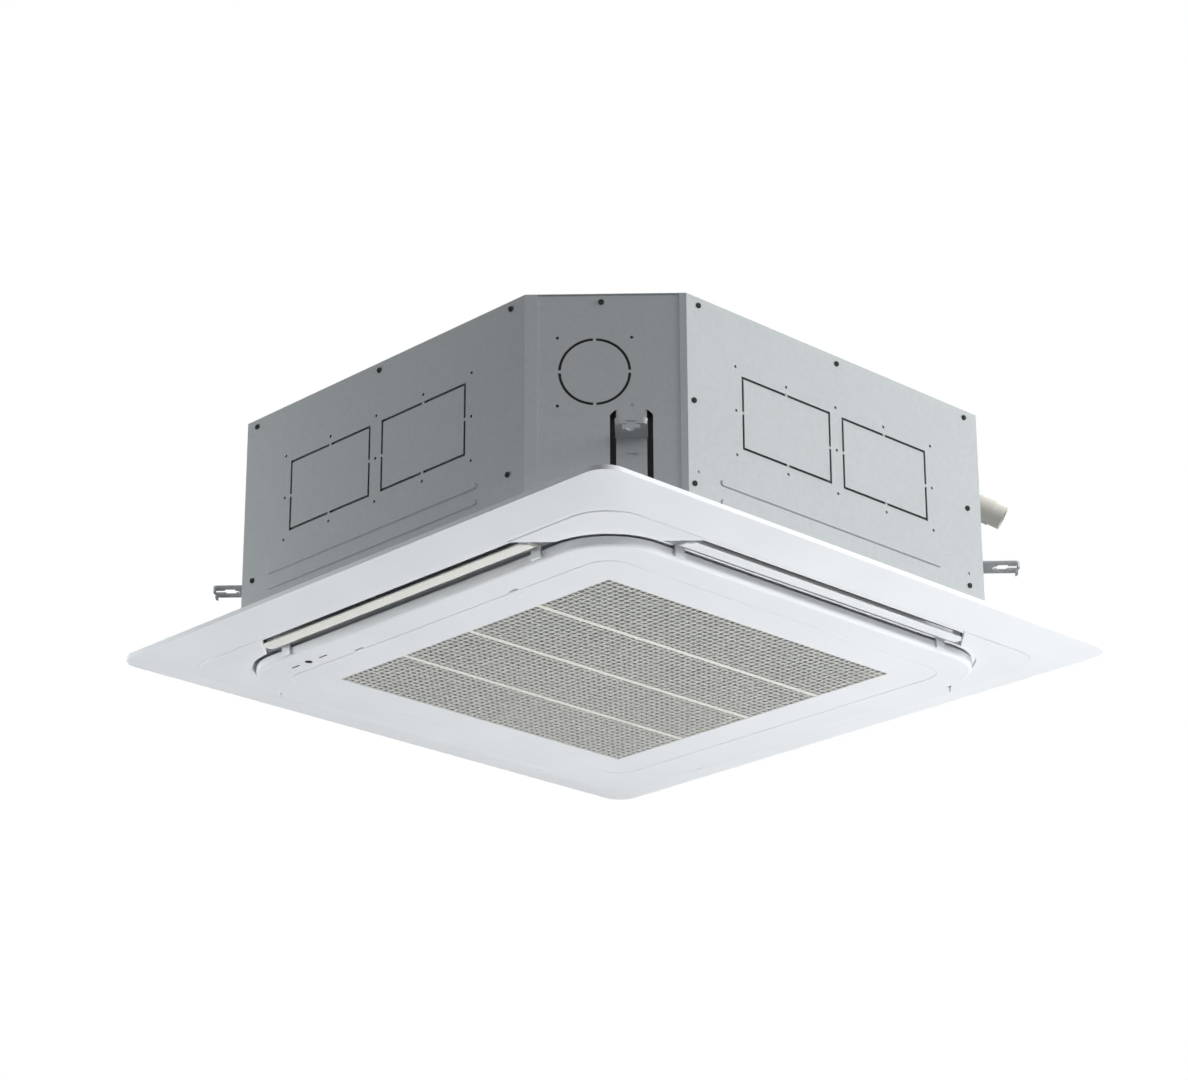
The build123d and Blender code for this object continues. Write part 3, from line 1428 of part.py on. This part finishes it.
def grille_latch(centre):
    """Finger latch on the inside of the grille, with its tab flush in the face."""
    x = (centre - latch_half, centre + latch_half)
    base_top = grille_skin_top + latch_base
    wall = (latch_step - latch_wall, latch_step)
    latch = block(x, (wall[0], latch_near - 1), (grille_skin_top, base_top))
    latch += block(x, wall, (grille_skin_top, latch_nose[1]))
    latch += block(x, (latch_tip, latch_step), latch_nose)
    tab_x = (centre - latch_tab_half, centre + latch_tab_half)
    return latch + block(tab_x, latch_tab, (grille_face, grille_skin_top + 1))


def receiver_window():
    """Lens and two indicator windows, joined behind the face by one flange."""
    high = grille_skin_top + receiver_flange
    window = rod(receiver_radius, (receiver_x, receiver_y, grille_face), (receiver_x, receiver_y, high))
    for offset in indicator_offsets:
        window += prism(indicator_outline(offset), grille_face, high)
    past = indicator_half[0] + indicator_margin
    reach = (receiver_x + indicator_offsets[0] - past, receiver_x + indicator_offsets[1] + past)
    return window + block(reach, (receiver_y - receiver_back_half, receiver_y + receiver_back_half),
                          (grille_skin_top, high))


def hinge_pins():
    half = hinge_lug / 2 + hinge_gap + hinge_arm
    pins = []
    for centre in (-hinge_x, hinge_x):
        pins.append(rod(hinge_pin_radius, (centre - half, hinge_y, hinge_z),
                        (centre + half, hinge_y, hinge_z)))
    return pins


def build_grille():
    save("intake_grille", intake_grille())
    save("grille_mesh", grille_mesh())
    save("air_filter", air_filter())
    save("grille_latch_left", grille_latch(-latch_x))
    save("grille_latch_right", grille_latch(latch_x))
    save("receiver_window", receiver_window())
    save_group("grille_hinge_pins", hinge_pins())


build_casing()
build_coil()
build_drain()
build_fan()
build_controls()
build_panel()
build_vanes()
build_grille()
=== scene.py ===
import bpy
import bmesh
from math import cos, pi, radians, sin
from mathutils import Matrix, Vector


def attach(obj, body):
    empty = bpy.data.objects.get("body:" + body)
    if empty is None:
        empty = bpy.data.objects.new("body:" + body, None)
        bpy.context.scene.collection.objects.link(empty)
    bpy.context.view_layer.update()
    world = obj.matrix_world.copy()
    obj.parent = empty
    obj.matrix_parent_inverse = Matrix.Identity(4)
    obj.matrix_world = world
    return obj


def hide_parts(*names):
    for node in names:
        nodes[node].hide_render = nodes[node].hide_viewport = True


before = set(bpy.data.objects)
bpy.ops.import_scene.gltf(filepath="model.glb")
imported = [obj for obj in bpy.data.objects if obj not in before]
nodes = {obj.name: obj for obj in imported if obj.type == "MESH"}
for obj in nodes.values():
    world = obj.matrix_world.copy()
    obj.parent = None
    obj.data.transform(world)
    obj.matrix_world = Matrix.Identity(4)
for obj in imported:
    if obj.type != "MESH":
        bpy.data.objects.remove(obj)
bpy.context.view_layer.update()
scene = bpy.context.scene
scene.view_settings.view_transform = "Standard"

MM = 0.001
SIDES = ("front", "right", "back", "left")
SQUARE = ((-1, -1), (1, -1), (1, 1), (-1, 1))


def link(name, data):
    obj = bpy.data.objects.new(name, data)
    scene.collection.objects.link(obj)
    return obj


# ---------------------------------------------------------------- camera
CAMERA_AZIMUTH = 46.21
CAMERA_ELEVATION = -21.45
CAMERA_ROLL = -0.19
CAMERA_OFFSET = Vector((26.4, -158.4, -4444.0)) * MM
CAMERA_LEVEL = -6.0 * MM       # height of the point that CAMERA_OFFSET gives in the camera's axes
FOCAL_PIXELS = 3289.0
IMAGE_WIDTH = 1188.0
SENSOR = 36.0
CAMERA_NEAR = 0.05
CAMERA_FAR = 60.0


def make_camera():
    a, e, r = (radians(v) for v in (CAMERA_AZIMUTH, CAMERA_ELEVATION, CAMERA_ROLL))
    back = Vector((sin(a) * cos(e), -cos(a) * cos(e), sin(e)))
    level_right = Vector((cos(a), sin(a), 0.0))
    level_up = back.cross(level_right)
    right = level_right * cos(r) + level_up * sin(r)
    up = level_up * cos(r) - level_right * sin(r)
    turn = Matrix((right, up, back)).transposed()
    data = bpy.data.cameras.new("camera")
    data.sensor_width = SENSOR
    data.lens = FOCAL_PIXELS / IMAGE_WIDTH * SENSOR
    data.clip_start, data.clip_end = CAMERA_NEAR, CAMERA_FAR
    camera = link("camera", data)
    place = turn @ -CAMERA_OFFSET + Vector((0, 0, CAMERA_LEVEL))
    camera.matrix_world = Matrix.Translation(place) @ turn.to_4x4()
    scene.camera = camera


# ---------------------------------------------------------------- light
WORLD_FILL = 0.45        # surroundings as soft light
WORLD_GLOSS = 0.80       # surroundings as seen in glossy surfaces
DIM_FILL = 0.05          # soft light from the dim side, as a share of the bright side's
DIM_GLOSS = 0.60         # the same in glossy surfaces
BRIGHT_WAY = (0.7071, 0.7071, 0.0)
DIM_FROM = -0.8          # along BRIGHT_WAY, where the dim side ends
BRIGHT_FROM = 0.5        # and where the bright side starts
ROOM_COLOUR = (0.95, 0.97, 1.0, 1.0)
WHITE = (1.0, 1.0, 1.0, 1.0)

# each lamp's place, the point that it aims at, its size, power and colour
LAMPS = {
    "key_light": ((3.4, 2.2, 1.0), (0.2, 0, 0.1), 1.6, 168.0, (1.0, 1.0, 1.0)),
    "under_light": ((0.7, 0.7, -2.4), (0, 0, 0), 1.2, 66.0, (0.98, 0.99, 1.0)),
    "corner_light": ((2.6, -3.0, 0.4), (0.35, -0.35, 0.15), 1.2, 3.0, (0.96, 0.98, 1.0)),
    "left_light": ((-1.2, -1.3, -0.1), (-0.3, -0.42, 0.1), 0.5, 13.5, (0.95, 0.98, 1.0)),
    "top_light": ((-1.0, 1.0, 3.4), (0, 0, 0.2), 2.5, 55.0, (1.0, 1.0, 1.0)),
    "back_light": ((-3.4, 2.8, 0.6), (0, 0, 0.1), 2.2, 30.0, (1.0, 1.0, 1.0)),
}


def make_world():
    """White behind the part, and around it a room whose light comes mostly from BRIGHT_WAY."""
    world = bpy.data.worlds.new("studio")
    scene.world = world
    world.use_nodes = True
    tree = world.node_tree
    tree.nodes.clear()

    def node(kind, **settings):
        made = tree.nodes.new(kind)
        for key, value in settings.items():
            setattr(made, key, value)
        return made

    path = node("ShaderNodeLightPath")
    direction = node("ShaderNodeTexCoord").outputs["Generated"]
    toward = node("ShaderNodeVectorMath", operation="DOT_PRODUCT")
    tree.links.new(direction, toward.inputs[0])
    toward.inputs[1].default_value = BRIGHT_WAY
    shares = []
    for dim in (DIM_FILL, DIM_GLOSS):
        side = node("ShaderNodeMapRange", interpolation_type="SMOOTHSTEP")
        tree.links.new(toward.outputs["Value"], side.inputs["Value"])
        side.inputs["From Min"].default_value = DIM_FROM
        side.inputs["From Max"].default_value = BRIGHT_FROM
        side.inputs["To Min"].default_value = dim
        shares.append(side.outputs[0])
    strength = node("ShaderNodeMapRange")
    tree.links.new(path.outputs["Is Glossy Ray"], strength.inputs["Value"])
    ends = ((shares[0], WORLD_FILL, "To Min"), (shares[1], WORLD_GLOSS, "To Max"))
    for share, level, end in ends:
        scaled = node("ShaderNodeMath", operation="MULTIPLY")
        tree.links.new(share, scaled.inputs[0])
        scaled.inputs[1].default_value = level
        tree.links.new(scaled.outputs[0], strength.inputs[end])
    room = node("ShaderNodeBackground")
    room.inputs["Color"].default_value = ROOM_COLOUR
    tree.links.new(strength.outputs[0], room.inputs["Strength"])
    white = node("ShaderNodeBackground")
    white.inputs["Color"].default_value = WHITE
    plain = node("ShaderNodeMath", operation="MAXIMUM")
    tree.links.new(path.outputs["Is Camera Ray"], plain.inputs[0])
    tree.links.new(path.outputs["Is Transmission Ray"], plain.inputs[1])
    mix = node("ShaderNodeMixShader")
    tree.links.new(plain.outputs[0], mix.inputs[0])
    tree.links.new(room.outputs[0], mix.inputs[1])
    tree.links.new(white.outputs[0], mix.inputs[2])
    tree.links.new(mix.outputs[0], node("ShaderNodeOutputWorld").inputs["Surface"])


def make_lights():
    for name, (place, aim, size, power, colour) in LAMPS.items():
        data = bpy.data.lights.new(name, "AREA")
        data.shape = "SQUARE"
        data.size = size
        data.energy = power
        data.color = colour
        obj = link(name, data)
        obj.location = place
        obj.rotation_euler = (Vector(aim) - Vector(place)).to_track_quat("-Z", "Y").to_euler()
        obj.visible_camera = False
        obj.visible_glossy = False


FLOOR_LEVEL = -5.2
FLOOR_HALF = 16.0
FLOOR_GLOW = 0.42              # lifts the floor towards the white behind it, for the camera alone


def make_floor(material):
    mesh = bpy.data.meshes.new("floor")
    corners = [(x * FLOOR_HALF, y * FLOOR_HALF, FLOOR_LEVEL) for x, y in SQUARE]
    mesh.from_pydata(corners, [], [(0, 1, 2, 3)])
    mesh.materials.append(material)
    obj = link("floor", mesh)


# ---------------------------------------------------------------- material kit
NOISE_SPAN = (0.3, 0.7)
MIX_INPUTS = (0, 6, 7)         # factor, first and second colour of a colour mix
MIX_RESULT = 2


class Graph:
    """A node material under construction. Lengths are in metres on the object's own coordinates."""

    def __init__(self, name, roughness=0.5, metallic=0.0):
        self.material = bpy.data.materials.new(name)
        self.material.use_nodes = True
        self.tree = self.material.node_tree
        self.shader = self.tree.nodes["Principled BSDF"]
        self.shader.inputs["Roughness"].default_value = roughness
        self.shader.inputs["Metallic"].default_value = metallic
        self.place = self.add("ShaderNodeTexCoord").outputs["Object"]

    def add(self, kind, inputs=None, **settings):
        node = self.tree.nodes.new(kind)
        for key, value in settings.items():
            setattr(node, key, value)
        for key, value in (inputs or {}).items():
            self.feed(node.inputs[key], value)
        return node

    def feed(self, socket, value):
        if isinstance(value, bpy.types.NodeSocket):
            self.tree.links.new(value, socket)
        else:
            socket.default_value = value

    def stretch(self, x, y, z):
        return self.add("ShaderNodeMapping", {"Vector": self.place, "Scale": (x, y, z)}).outputs[0]

    def noise(self, scale, detail=2.0, rough=0.5, vector=None):
        return self.add("ShaderNodeTexNoise", {"Vector": vector or self.place, "Scale": scale,
                                               "Detail": detail, "Roughness": rough}).outputs[0]

    def cells(self, scale, output="Color"):
        node = self.add("ShaderNodeTexVoronoi", {"Vector": self.place, "Scale": scale})
        return node.outputs[output]

    def math(self, operation, a, b):
        return self.add("ShaderNodeMath", {0: a, 1: b}, operation=operation).outputs[0]

    def remap(self, value, low, high, new_low, new_high):
        return self.add("ShaderNodeMapRange", {"Value": value, "From Min": low, "From Max": high,
                                               "To Min": new_low, "To Max": new_high}).outputs[0]

    def spread(self, noise, low, high):
        """Noise, which mostly lies within NOISE_SPAN, stretched over another range."""
        return self.remap(noise, *NOISE_SPAN, low, high)

    def shade(self, colour, noise, depth):
        """Colour that noise makes lighter and darker by a share of it."""
        return self.tint(colour, self.spread(noise, 1.0 - depth, 1.0 + depth))

    def first(self, colour):
        """First channel of a colour."""
        return self.add("ShaderNodeSeparateColor", {"Color": colour}).outputs[0]

    def tint(self, colour, factor):
        """Colour times a grey factor."""
        channels = {"Red": factor, "Green": factor, "Blue": factor}
        grey = self.add("ShaderNodeCombineColor", channels).outputs[0]
        return self.blend(1.0, colour, grey, blend_type="MULTIPLY")

    def blend(self, factor, a, b, **settings):
        """Two colours mixed by a factor."""
        node = self.add("ShaderNodeMix", data_type="RGBA", **settings)
        for socket, value in zip(MIX_INPUTS, (factor, a, b)):
            self.feed(node.inputs[socket], value)
        return node.outputs[MIX_RESULT]

    def colour(self, value):
        self.feed(self.shader.inputs["Base Color"], value)

    def roughness(self, value):
        self.feed(self.shader.inputs["Roughness"], value)

    def bump(self, height, depth, strength):
        node = self.add("ShaderNodeBump", {"Height": height, "Distance": depth, "Strength": strength})
        self.feed(self.shader.inputs["Normal"], node.outputs[0])


def rgb(r, g, b):
    """Screen colour, 0 to 255, as linear light by the sRGB curve."""
    def linear(v):
        v = v / 255.0
        return v / 12.92 if v <= 0.04045 else ((v + 0.055) / 1.055) ** 2.4
    return (linear(r), linear(g), linear(b), 1.0)


SMALL_CRYSTALS = 2.7           # times as fine as the large ones
LARGE_SHARE = 0.45             # how much of the pattern each part makes up
SMALL_SHARE = 0.30
GRAIN_SHARE = 0.25
ZINC_CLOUD = 3.0
ZINC_CLOUD_DEPTH = 0.02        # how much lighter and darker the cloudiness makes the sheet
ZINC_GRAIN = 700.0
ZINC_GLOSS = 0.07              # how far the crystals differ in roughness
ZINC_RELIEF = 0.08 * MM
ZINC_BUMP = 0.5


def galvanised(name, colour, crystal=150.0, contrast=0.06, metallic=0.35, roughness=0.48):
    """Zinc coated sheet with crystals of two sizes, a faint cloudiness and fine grain."""
    g = Graph(name, metallic=metallic)
    large = g.first(g.cells(crystal))
    small = g.first(g.cells(crystal * SMALL_CRYSTALS))
    cloud = g.noise(ZINC_CLOUD)
    grain = g.noise(ZINC_GRAIN, rough=0.6)
    value = g.math("ADD", g.math("MULTIPLY", large, LARGE_SHARE), g.math("MULTIPLY", small, SMALL_SHARE))
    value = g.math("ADD", value, g.math("MULTIPLY", grain, GRAIN_SHARE))
    shade = g.remap(value, 0.0, 1.0, 1.0 - contrast, 1.0 + contrast)
    cloudiness = g.spread(cloud, 1.0 - ZINC_CLOUD_DEPTH, 1.0 + ZINC_CLOUD_DEPTH)
    shade = g.math("MULTIPLY", shade, cloudiness)
    g.colour(g.tint(colour, shade))
    g.roughness(g.remap(value, 0.0, 1.0, roughness - ZINC_GLOSS, roughness + ZINC_GLOSS))
    g.bump(value, ZINC_RELIEF, ZINC_BUMP)
    return g.material


MOULD_CLOUD = 7.0
MOULD_CLOUD_DEPTH = 0.02
MOULD_DULLER = 0.07            # what the texture adds to the roughness at most
MOULD_GLOSSIER = 0.05          # and what it takes off
MOULD_BUMP = 0.6


def moulded(name, colour, roughness=0.42, grain=900.0, depth=0.03 * MM):
    """Plastic with a fine moulded texture and a slight unevenness of tone."""
    g = Graph(name)
    fine = g.noise(grain, rough=0.6)
    broad = g.noise(MOULD_CLOUD)
    g.colour(g.shade(colour, broad, MOULD_CLOUD_DEPTH))
    g.roughness(g.spread(fine, roughness - MOULD_GLOSSIER, roughness + MOULD_DULLER))
    g.bump(fine, depth, MOULD_BUMP)
    return g.material


LINE_STRETCH = (8.0, 8.0, 900.0)
LINE_RELIEF = 0.03 * MM
LINE_BUMP = 0.4
LINE_DULLER = 0.12
LINE_GLOSSIER = 0.08
TARNISH = 90.0
TARNISH_SHADES = (0.88, 1.06)


def brushed(name, colour, roughness=0.3, metallic=0.85):
    """Drawn or rolled bright metal with faint lines across the vertical axis and dull spots."""
    g = Graph(name, metallic=metallic)
    lines = g.noise(1.0, 3.0, 0.6, g.stretch(*LINE_STRETCH))
    dull = g.noise(TARNISH, 3.0, 0.6)
    g.colour(g.tint(colour, g.spread(dull, *TARNISH_SHADES)))
    g.roughness(g.spread(lines, roughness - LINE_GLOSSIER, roughness + LINE_DULLER))
    g.bump(lines, LINE_RELIEF, LINE_BUMP)
    return g.material


FOAM_ROUGHNESS = 0.85
FOAM_SHADES = (0.93, 1.05)     # darkest and lightest cell
FOAM_RELIEF = 0.4 * MM
FOAM_BUMP = 0.7


def foam(name, colour, bead):
    """Beaded foam whose closed cells show as shallow dimples."""
    g = Graph(name, roughness=FOAM_ROUGHNESS)
    edge = g.cells(bead, "Distance")
    tone = g.first(g.cells(bead))
    g.colour(g.tint(colour, g.remap(tone, 0.0, 1.0, *FOAM_SHADES)))
    g.bump(edge, FOAM_RELIEF, FOAM_BUMP)
    return g.material


FLOOR_SPECKS = 40.0
FLOOR_SPECK_DEPTH = 0.015
FLOOR_LIT = rgb(118, 120, 122)     # what the floor throws back on the part
FLOOR_SEEN = rgb(240, 240, 240)


def floor_material():
    """Pale where it is looked at, and dull as a reflector, so that it doesn't flood the part from below."""
    g = Graph("floor", roughness=0.9)
    seen = g.add("ShaderNodeLightPath").outputs["Is Camera Ray"]
    specks = g.noise(FLOOR_SPECKS, 3.0, 0.6)
    g.colour(g.shade(g.blend(seen, FLOOR_LIT, FLOOR_SEEN), specks, FLOOR_SPECK_DEPTH))
    g.feed(g.shader.inputs["Emission Color"], WHITE)
    g.feed(g.shader.inputs["Emission Strength"], g.math("MULTIPLY", seen, FLOOR_GLOW))
    return g.material


def make_materials():
    return {
        "galvanised_sheet": galvanised("galvanised_sheet", rgb(188, 192, 193)),
        "bracket_steel": galvanised("bracket_steel", rgb(186, 189, 191), crystal=160.0, contrast=0.08),
        "screw_steel": brushed("screw_steel", rgb(58, 60, 62), roughness=0.42, metallic=0.5),
        "bright_steel": brushed("bright_steel", rgb(190, 192, 194)),
        "white_plastic": moulded("white_plastic", rgb(236, 238, 240)),
        # a cream copy of the vane plastic for the front vane alone: painted shade, where the other vanes
        # take the white copy
        "vane_plastic": moulded("vane_plastic", rgb(238, 237, 230), roughness=0.38),
        "vane_white": moulded("vane_white", rgb(238, 240, 241), roughness=0.38),
        "mesh_plastic": moulded("mesh_plastic", rgb(214, 213, 208), roughness=0.5),
        "rib_plastic": moulded("rib_plastic", rgb(232, 229, 221), roughness=0.5),
        "filter_net": moulded("filter_net", rgb(182, 184, 184), roughness=0.7, grain=1500.0, depth=0.1 * MM),
        "grey_plastic": moulded("grey_plastic", rgb(92, 96, 100), roughness=0.5),
        # liner foam in dark grey: partly its own colour, and partly painted shade, so that the slits and the
        # bracket pocket read dark
        "dark_foam": foam("dark_foam", rgb(92, 95, 98), bead=420.0),
        "black_rubber": moulded("black_rubber", rgb(24, 24, 25), roughness=0.7, grain=500.0, depth=0.1 * MM),
        "white_foam": foam("white_foam", rgb(226, 228, 228), bead=260.0),
        "coil_aluminium": brushed("coil_aluminium", rgb(176, 180, 184), roughness=0.35, metallic=0.8),
        "copper": brushed("copper", rgb(184, 115, 78), roughness=0.32, metallic=0.9),
        "motor_case": brushed("motor_case", rgb(150, 152, 154), roughness=0.4, metallic=0.7),
        "board_green": moulded("board_green", rgb(38, 96, 60), roughness=0.35),
        "spigot_plastic": moulded("spigot_plastic", rgb(214, 210, 200), roughness=0.45),
        "dark_lens": moulded("dark_lens", rgb(58, 60, 66), roughness=0.12, grain=40.0, depth=0.0),
        "floor": floor_material(),
    }


# ---------------------------------------------------------------- pieces
GRILLE_FACE = -33.5 * MM
WINDOW_HALF = 261.0 * MM
MESH_GAP = 0.3 * MM
MESH_RECESS = 0.5 * MM
MESH_CELLS = 52
MESH_BAR = 2.1 * MM
MESH_DEPTH = 2.0 * MM
RIB_HALF = 4.0 * MM
RIB_CLEAR = 0.5 * MM           # a bar nearer to a rib than this is left out
RIBS = (-130.5 * MM, 0.0, 130.5 * MM)
FLANGE_HALF = 270.0 * MM
FLANGE_INNER = 256.0 * MM
SKIN_TOP = -30.5 * MM
FLANGE_THICKNESS = 1.5 * MM
TOUCH = 1e-7                   # two edges this close are one
POINT_DIGITS = 6               # points that agree to this many decimals are one


def mesh_bars():
    """Each bar's span across the window."""
    half = WINDOW_HALF - MESH_GAP
    pitch = 2 * half / MESH_CELLS
    centres = [-half + i * pitch for i in range(MESH_CELLS + 1)]
    return [(max(c - MESH_BAR / 2, -half), min(c + MESH_BAR / 2, half)) for c in centres]


def with_ribs(spans):
    """The bars' spans with the ribs' in place of those that they cover."""
    for rib in RIBS:
        low, high = rib - RIB_HALF, rib + RIB_HALF
        spans = [s for s in spans if s[1] < low - RIB_CLEAR or s[0] > high + RIB_CLEAR]
        spans.append((low, high))
    return sorted(spans)


def edges_of(spans):
    return sorted({edge for span in spans for edge in span})


def filled(edges, spans):
    """Whether each step from one edge to the next lies in a span."""
    middles = [(a + b) / 2 for a, b in zip(edges, edges[1:])]
    return [any(s[0] - TOUCH <= m <= s[1] + TOUCH for s in spans) for m in middles]


def add_bars(bm, xs, ys, low, high):
    """Closed shell of crossing bars. A rib's lower face takes the second material."""
    known = {}

    def vertex(point):
        key = tuple(round(v, POINT_DIGITS) for v in point)
        if key not in known:
            known[key] = bm.verts.new(point)
        return known[key]

    def face(*points):
        return bm.faces.new([vertex(p) for p in points])

    fx, fy = edges_of(xs), edges_of(ys)
    filled_x, filled_y = filled(fx, xs), filled(fy, ys)
    nx, ny = len(filled_x), len(filled_y)

    def solid(i, j):
        return 0 <= i < nx and 0 <= j < ny and (filled_x[i] or filled_y[j])

    for i in range(nx):
        for j in range(ny):
            if not solid(i, j):
                continue
            x0, x1, y0, y1 = fx[i], fx[i + 1], fy[j], fy[j + 1]
            on_rib = any(abs((x0 + x1) / 2 - rib) < RIB_HALF for rib in RIBS)
            lower = face((x0, y0, low), (x0, y1, low), (x1, y1, low), (x1, y0, low))
            lower.material_index = int(on_rib)
            face((x0, y0, high), (x1, y0, high), (x1, y1, high), (x0, y1, high))
            if not solid(i - 1, j):
                face((x0, y0, low), (x0, y0, high), (x0, y1, high), (x0, y1, low))
            if not solid(i + 1, j):
                face((x1, y0, low), (x1, y1, low), (x1, y1, high), (x1, y0, high))
            if not solid(i, j - 1):
                face((x0, y0, low), (x1, y0, low), (x1, y0, high), (x0, y0, high))
            if not solid(i, j + 1):
                face((x0, y1, low), (x0, y1, high), (x1, y1, high), (x1, y1, low))
    bmesh.ops.recalc_face_normals(bm, faces=bm.faces)


def add_flange(bm):
    """Square ring that carries the bars behind the grille's skin."""
    top = SKIN_TOP + FLANGE_THICKNESS
    section = ((FLANGE_INNER, SKIN_TOP), (FLANGE_HALF, SKIN_TOP), (FLANGE_HALF, top), (FLANGE_INNER, top))
    ring = [[bm.verts.new((x * r, y * r, z)) for x, y in SQUARE] for r, z in section]
    made = []
    for level in range(4):
        here, above = ring[level], ring[(level + 1) % 4]
        for corner in range(4):
            after = (corner + 1) % 4
            made.append(bm.faces.new((here[corner], here[after], above[after], above[corner])))
    bmesh.ops.recalc_face_normals(bm, faces=made)


def grille_lattice():
    """Fine square mesh of the intake with its three wide ribs and its flange."""
    bars = mesh_bars()
    low = GRILLE_FACE + MESH_RECESS
    bm = bmesh.new()
    add_bars(bm, with_ribs(bars), bars, low, low + MESH_DEPTH)
    add_flange(bm)
    mesh = bpy.data.meshes.new("grille_lattice")
    bm.to_mesh(mesh)
    bm.free()
    mesh.materials.append(materials["mesh_plastic"])
    mesh.materials.append(materials["rib_plastic"])
    obj = link("grille_lattice", mesh)
    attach(obj, "grille")
    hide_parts("grille_mesh")


CLOTH_HALF = 255.5 * MM
CLOTH_LOW = -30.4 * MM
CLOTH_THICKNESS = 0.3 * MM
BOX_FACES = ((0, 2, 3, 1), (4, 5, 7, 6), (0, 1, 5, 4), (2, 6, 7, 3), (0, 4, 6, 2), (1, 3, 7, 5))


def slab(name, x, y, z, material, turn=0.0):
    """Plain closed box between two values on each axis, turned about the vertical axis."""
    mesh = bpy.data.meshes.new(name)
    points = [(a, b, c) for c in z for b in y for a in x]
    spin = Matrix.Rotation(turn, 4, "Z")
    mesh.from_pydata([spin @ Vector(p) for p in points], [], BOX_FACES)
    mesh.materials.append(material)
    return link(name, mesh)


def filter_cloth():
    """Fine woven cloth stretched just behind the lattice, inside its flange."""
    span = (-CLOTH_HALF, CLOTH_HALF)
    height = (CLOTH_LOW, CLOTH_LOW + CLOTH_THICKNESS)
    obj = slab("filter_cloth", span, span, height, materials["filter_net"])
    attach(obj, "grille")


STRIP_X = (-245.0 * MM, 245.0 * MM)
STRIP_Y = (-407.9 * MM, -404.6 * MM)
STRIP_Z = (-17.6 * MM, -16.2 * MM)


def outlet_shade_strips():
    """Black strip along the outer wall of each air outlet, a dark sheet put there as painted shade in the
    outlet's gap.
    """
    rubber = materials["black_rubber"]
    for k, side in enumerate(SIDES):
        obj = slab("outlet_shade_strip_" + side, STRIP_X, STRIP_Y, STRIP_Z, rubber, radians(90 * k))
        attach(obj, "casing")


VANE_BEND = -383.0 * MM        # from here inwards the blade is drawn in
VANE_EDGE = -372.5 * MM        # the blade's inner edge in the solid
VANE_SEEN_EDGE = -377.5 * MM   # and as drawn in


def slim_vanes():
    """Vanes drawn in at the inner edge, for the wide gap that shows beside the grille."""
    share = (VANE_SEEN_EDGE - VANE_BEND) / (VANE_EDGE - VANE_BEND)
    for k, side in enumerate(SIDES):
        source = nodes["vane_" + side]
        mesh = source.data.copy()
        mesh.name = "slim_vane_" + side
        back = Matrix.Rotation(radians(-90 * k), 4, "Z") @ source.matrix_world
        mesh.transform(back)
        for v in mesh.vertices:
            if v.co.y > VANE_BEND:
                v.co.y = VANE_BEND + (v.co.y - VANE_BEND) * share
        mesh.transform(Matrix.Rotation(radians(90 * k), 4, "Z"))
        mesh.materials.clear()
        # the front vane takes the cream copy as painted shade; the other vanes take the white copy
        mesh.materials.append(materials["vane_plastic" if side == "front" else "vane_white"])
        obj = link("slim_vane_" + side, mesh)
        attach(obj, side + "_vane")
        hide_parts("vane_" + side)


SLIT_INNER = 41.8 * MM
SLIT_OUTER = 45.1 * MM
SLIT_SIDES = 96
SLIT_PLACE = (-14.0 * MM, 194.4 * MM)     # across the corner panel, and up
SLIT_FACE = (491.3 * MM, 491.6 * MM)      # out from the unit's middle, short of the sheet's face


def slit_shade_rings():
    """Black ring in each round knockout's slit, a dark sheet that paints the shade in the slit and hides the
    bracket behind it.
    """
    inner, outer = SLIT_FACE
    for k, mirror in ((0, 1.0), (3, -1.0)):
        name = "slit_shade_ring_" + SIDES[k]
        s, z = SLIT_PLACE[0] * mirror, SLIT_PLACE[1]
        turn = Matrix.Rotation(radians(45 + 90 * k), 4, "Z")
        points, faces = [], []
        for i in range(SLIT_SIDES):
            a = 2 * pi * i / SLIT_SIDES
            for r, d in ((SLIT_INNER, inner), (SLIT_OUTER, inner), (SLIT_OUTER, outer), (SLIT_INNER, outer)):
                points.append(turn @ Vector((s + r * cos(a), -d, z + r * sin(a))))
            here, there = 4 * i, 4 * ((i + 1) % SLIT_SIDES)
            for c in range(4):
                n = (c + 1) % 4
                faces.append((here + c, here + n, there + n, there + c))
        mesh = bpy.data.meshes.new(name)
        mesh.from_pydata(points, [], faces)
        mesh.materials.append(materials["black_rubber"])
        obj = link(name, mesh)
        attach(obj, "casing")


def make_pieces():
    for obj in nodes.values():
        for slot in obj.material_slots:
            name = slot.material.name.split(".")[0]
            if name in materials:
                slot.material = materials[name]
    grille_lattice()
    filter_cloth()
    outlet_shade_strips()
    slim_vanes()
    slit_shade_rings()


make_camera()
make_world()
make_lights()
materials = make_materials()
make_floor(materials["floor"])
make_pieces()
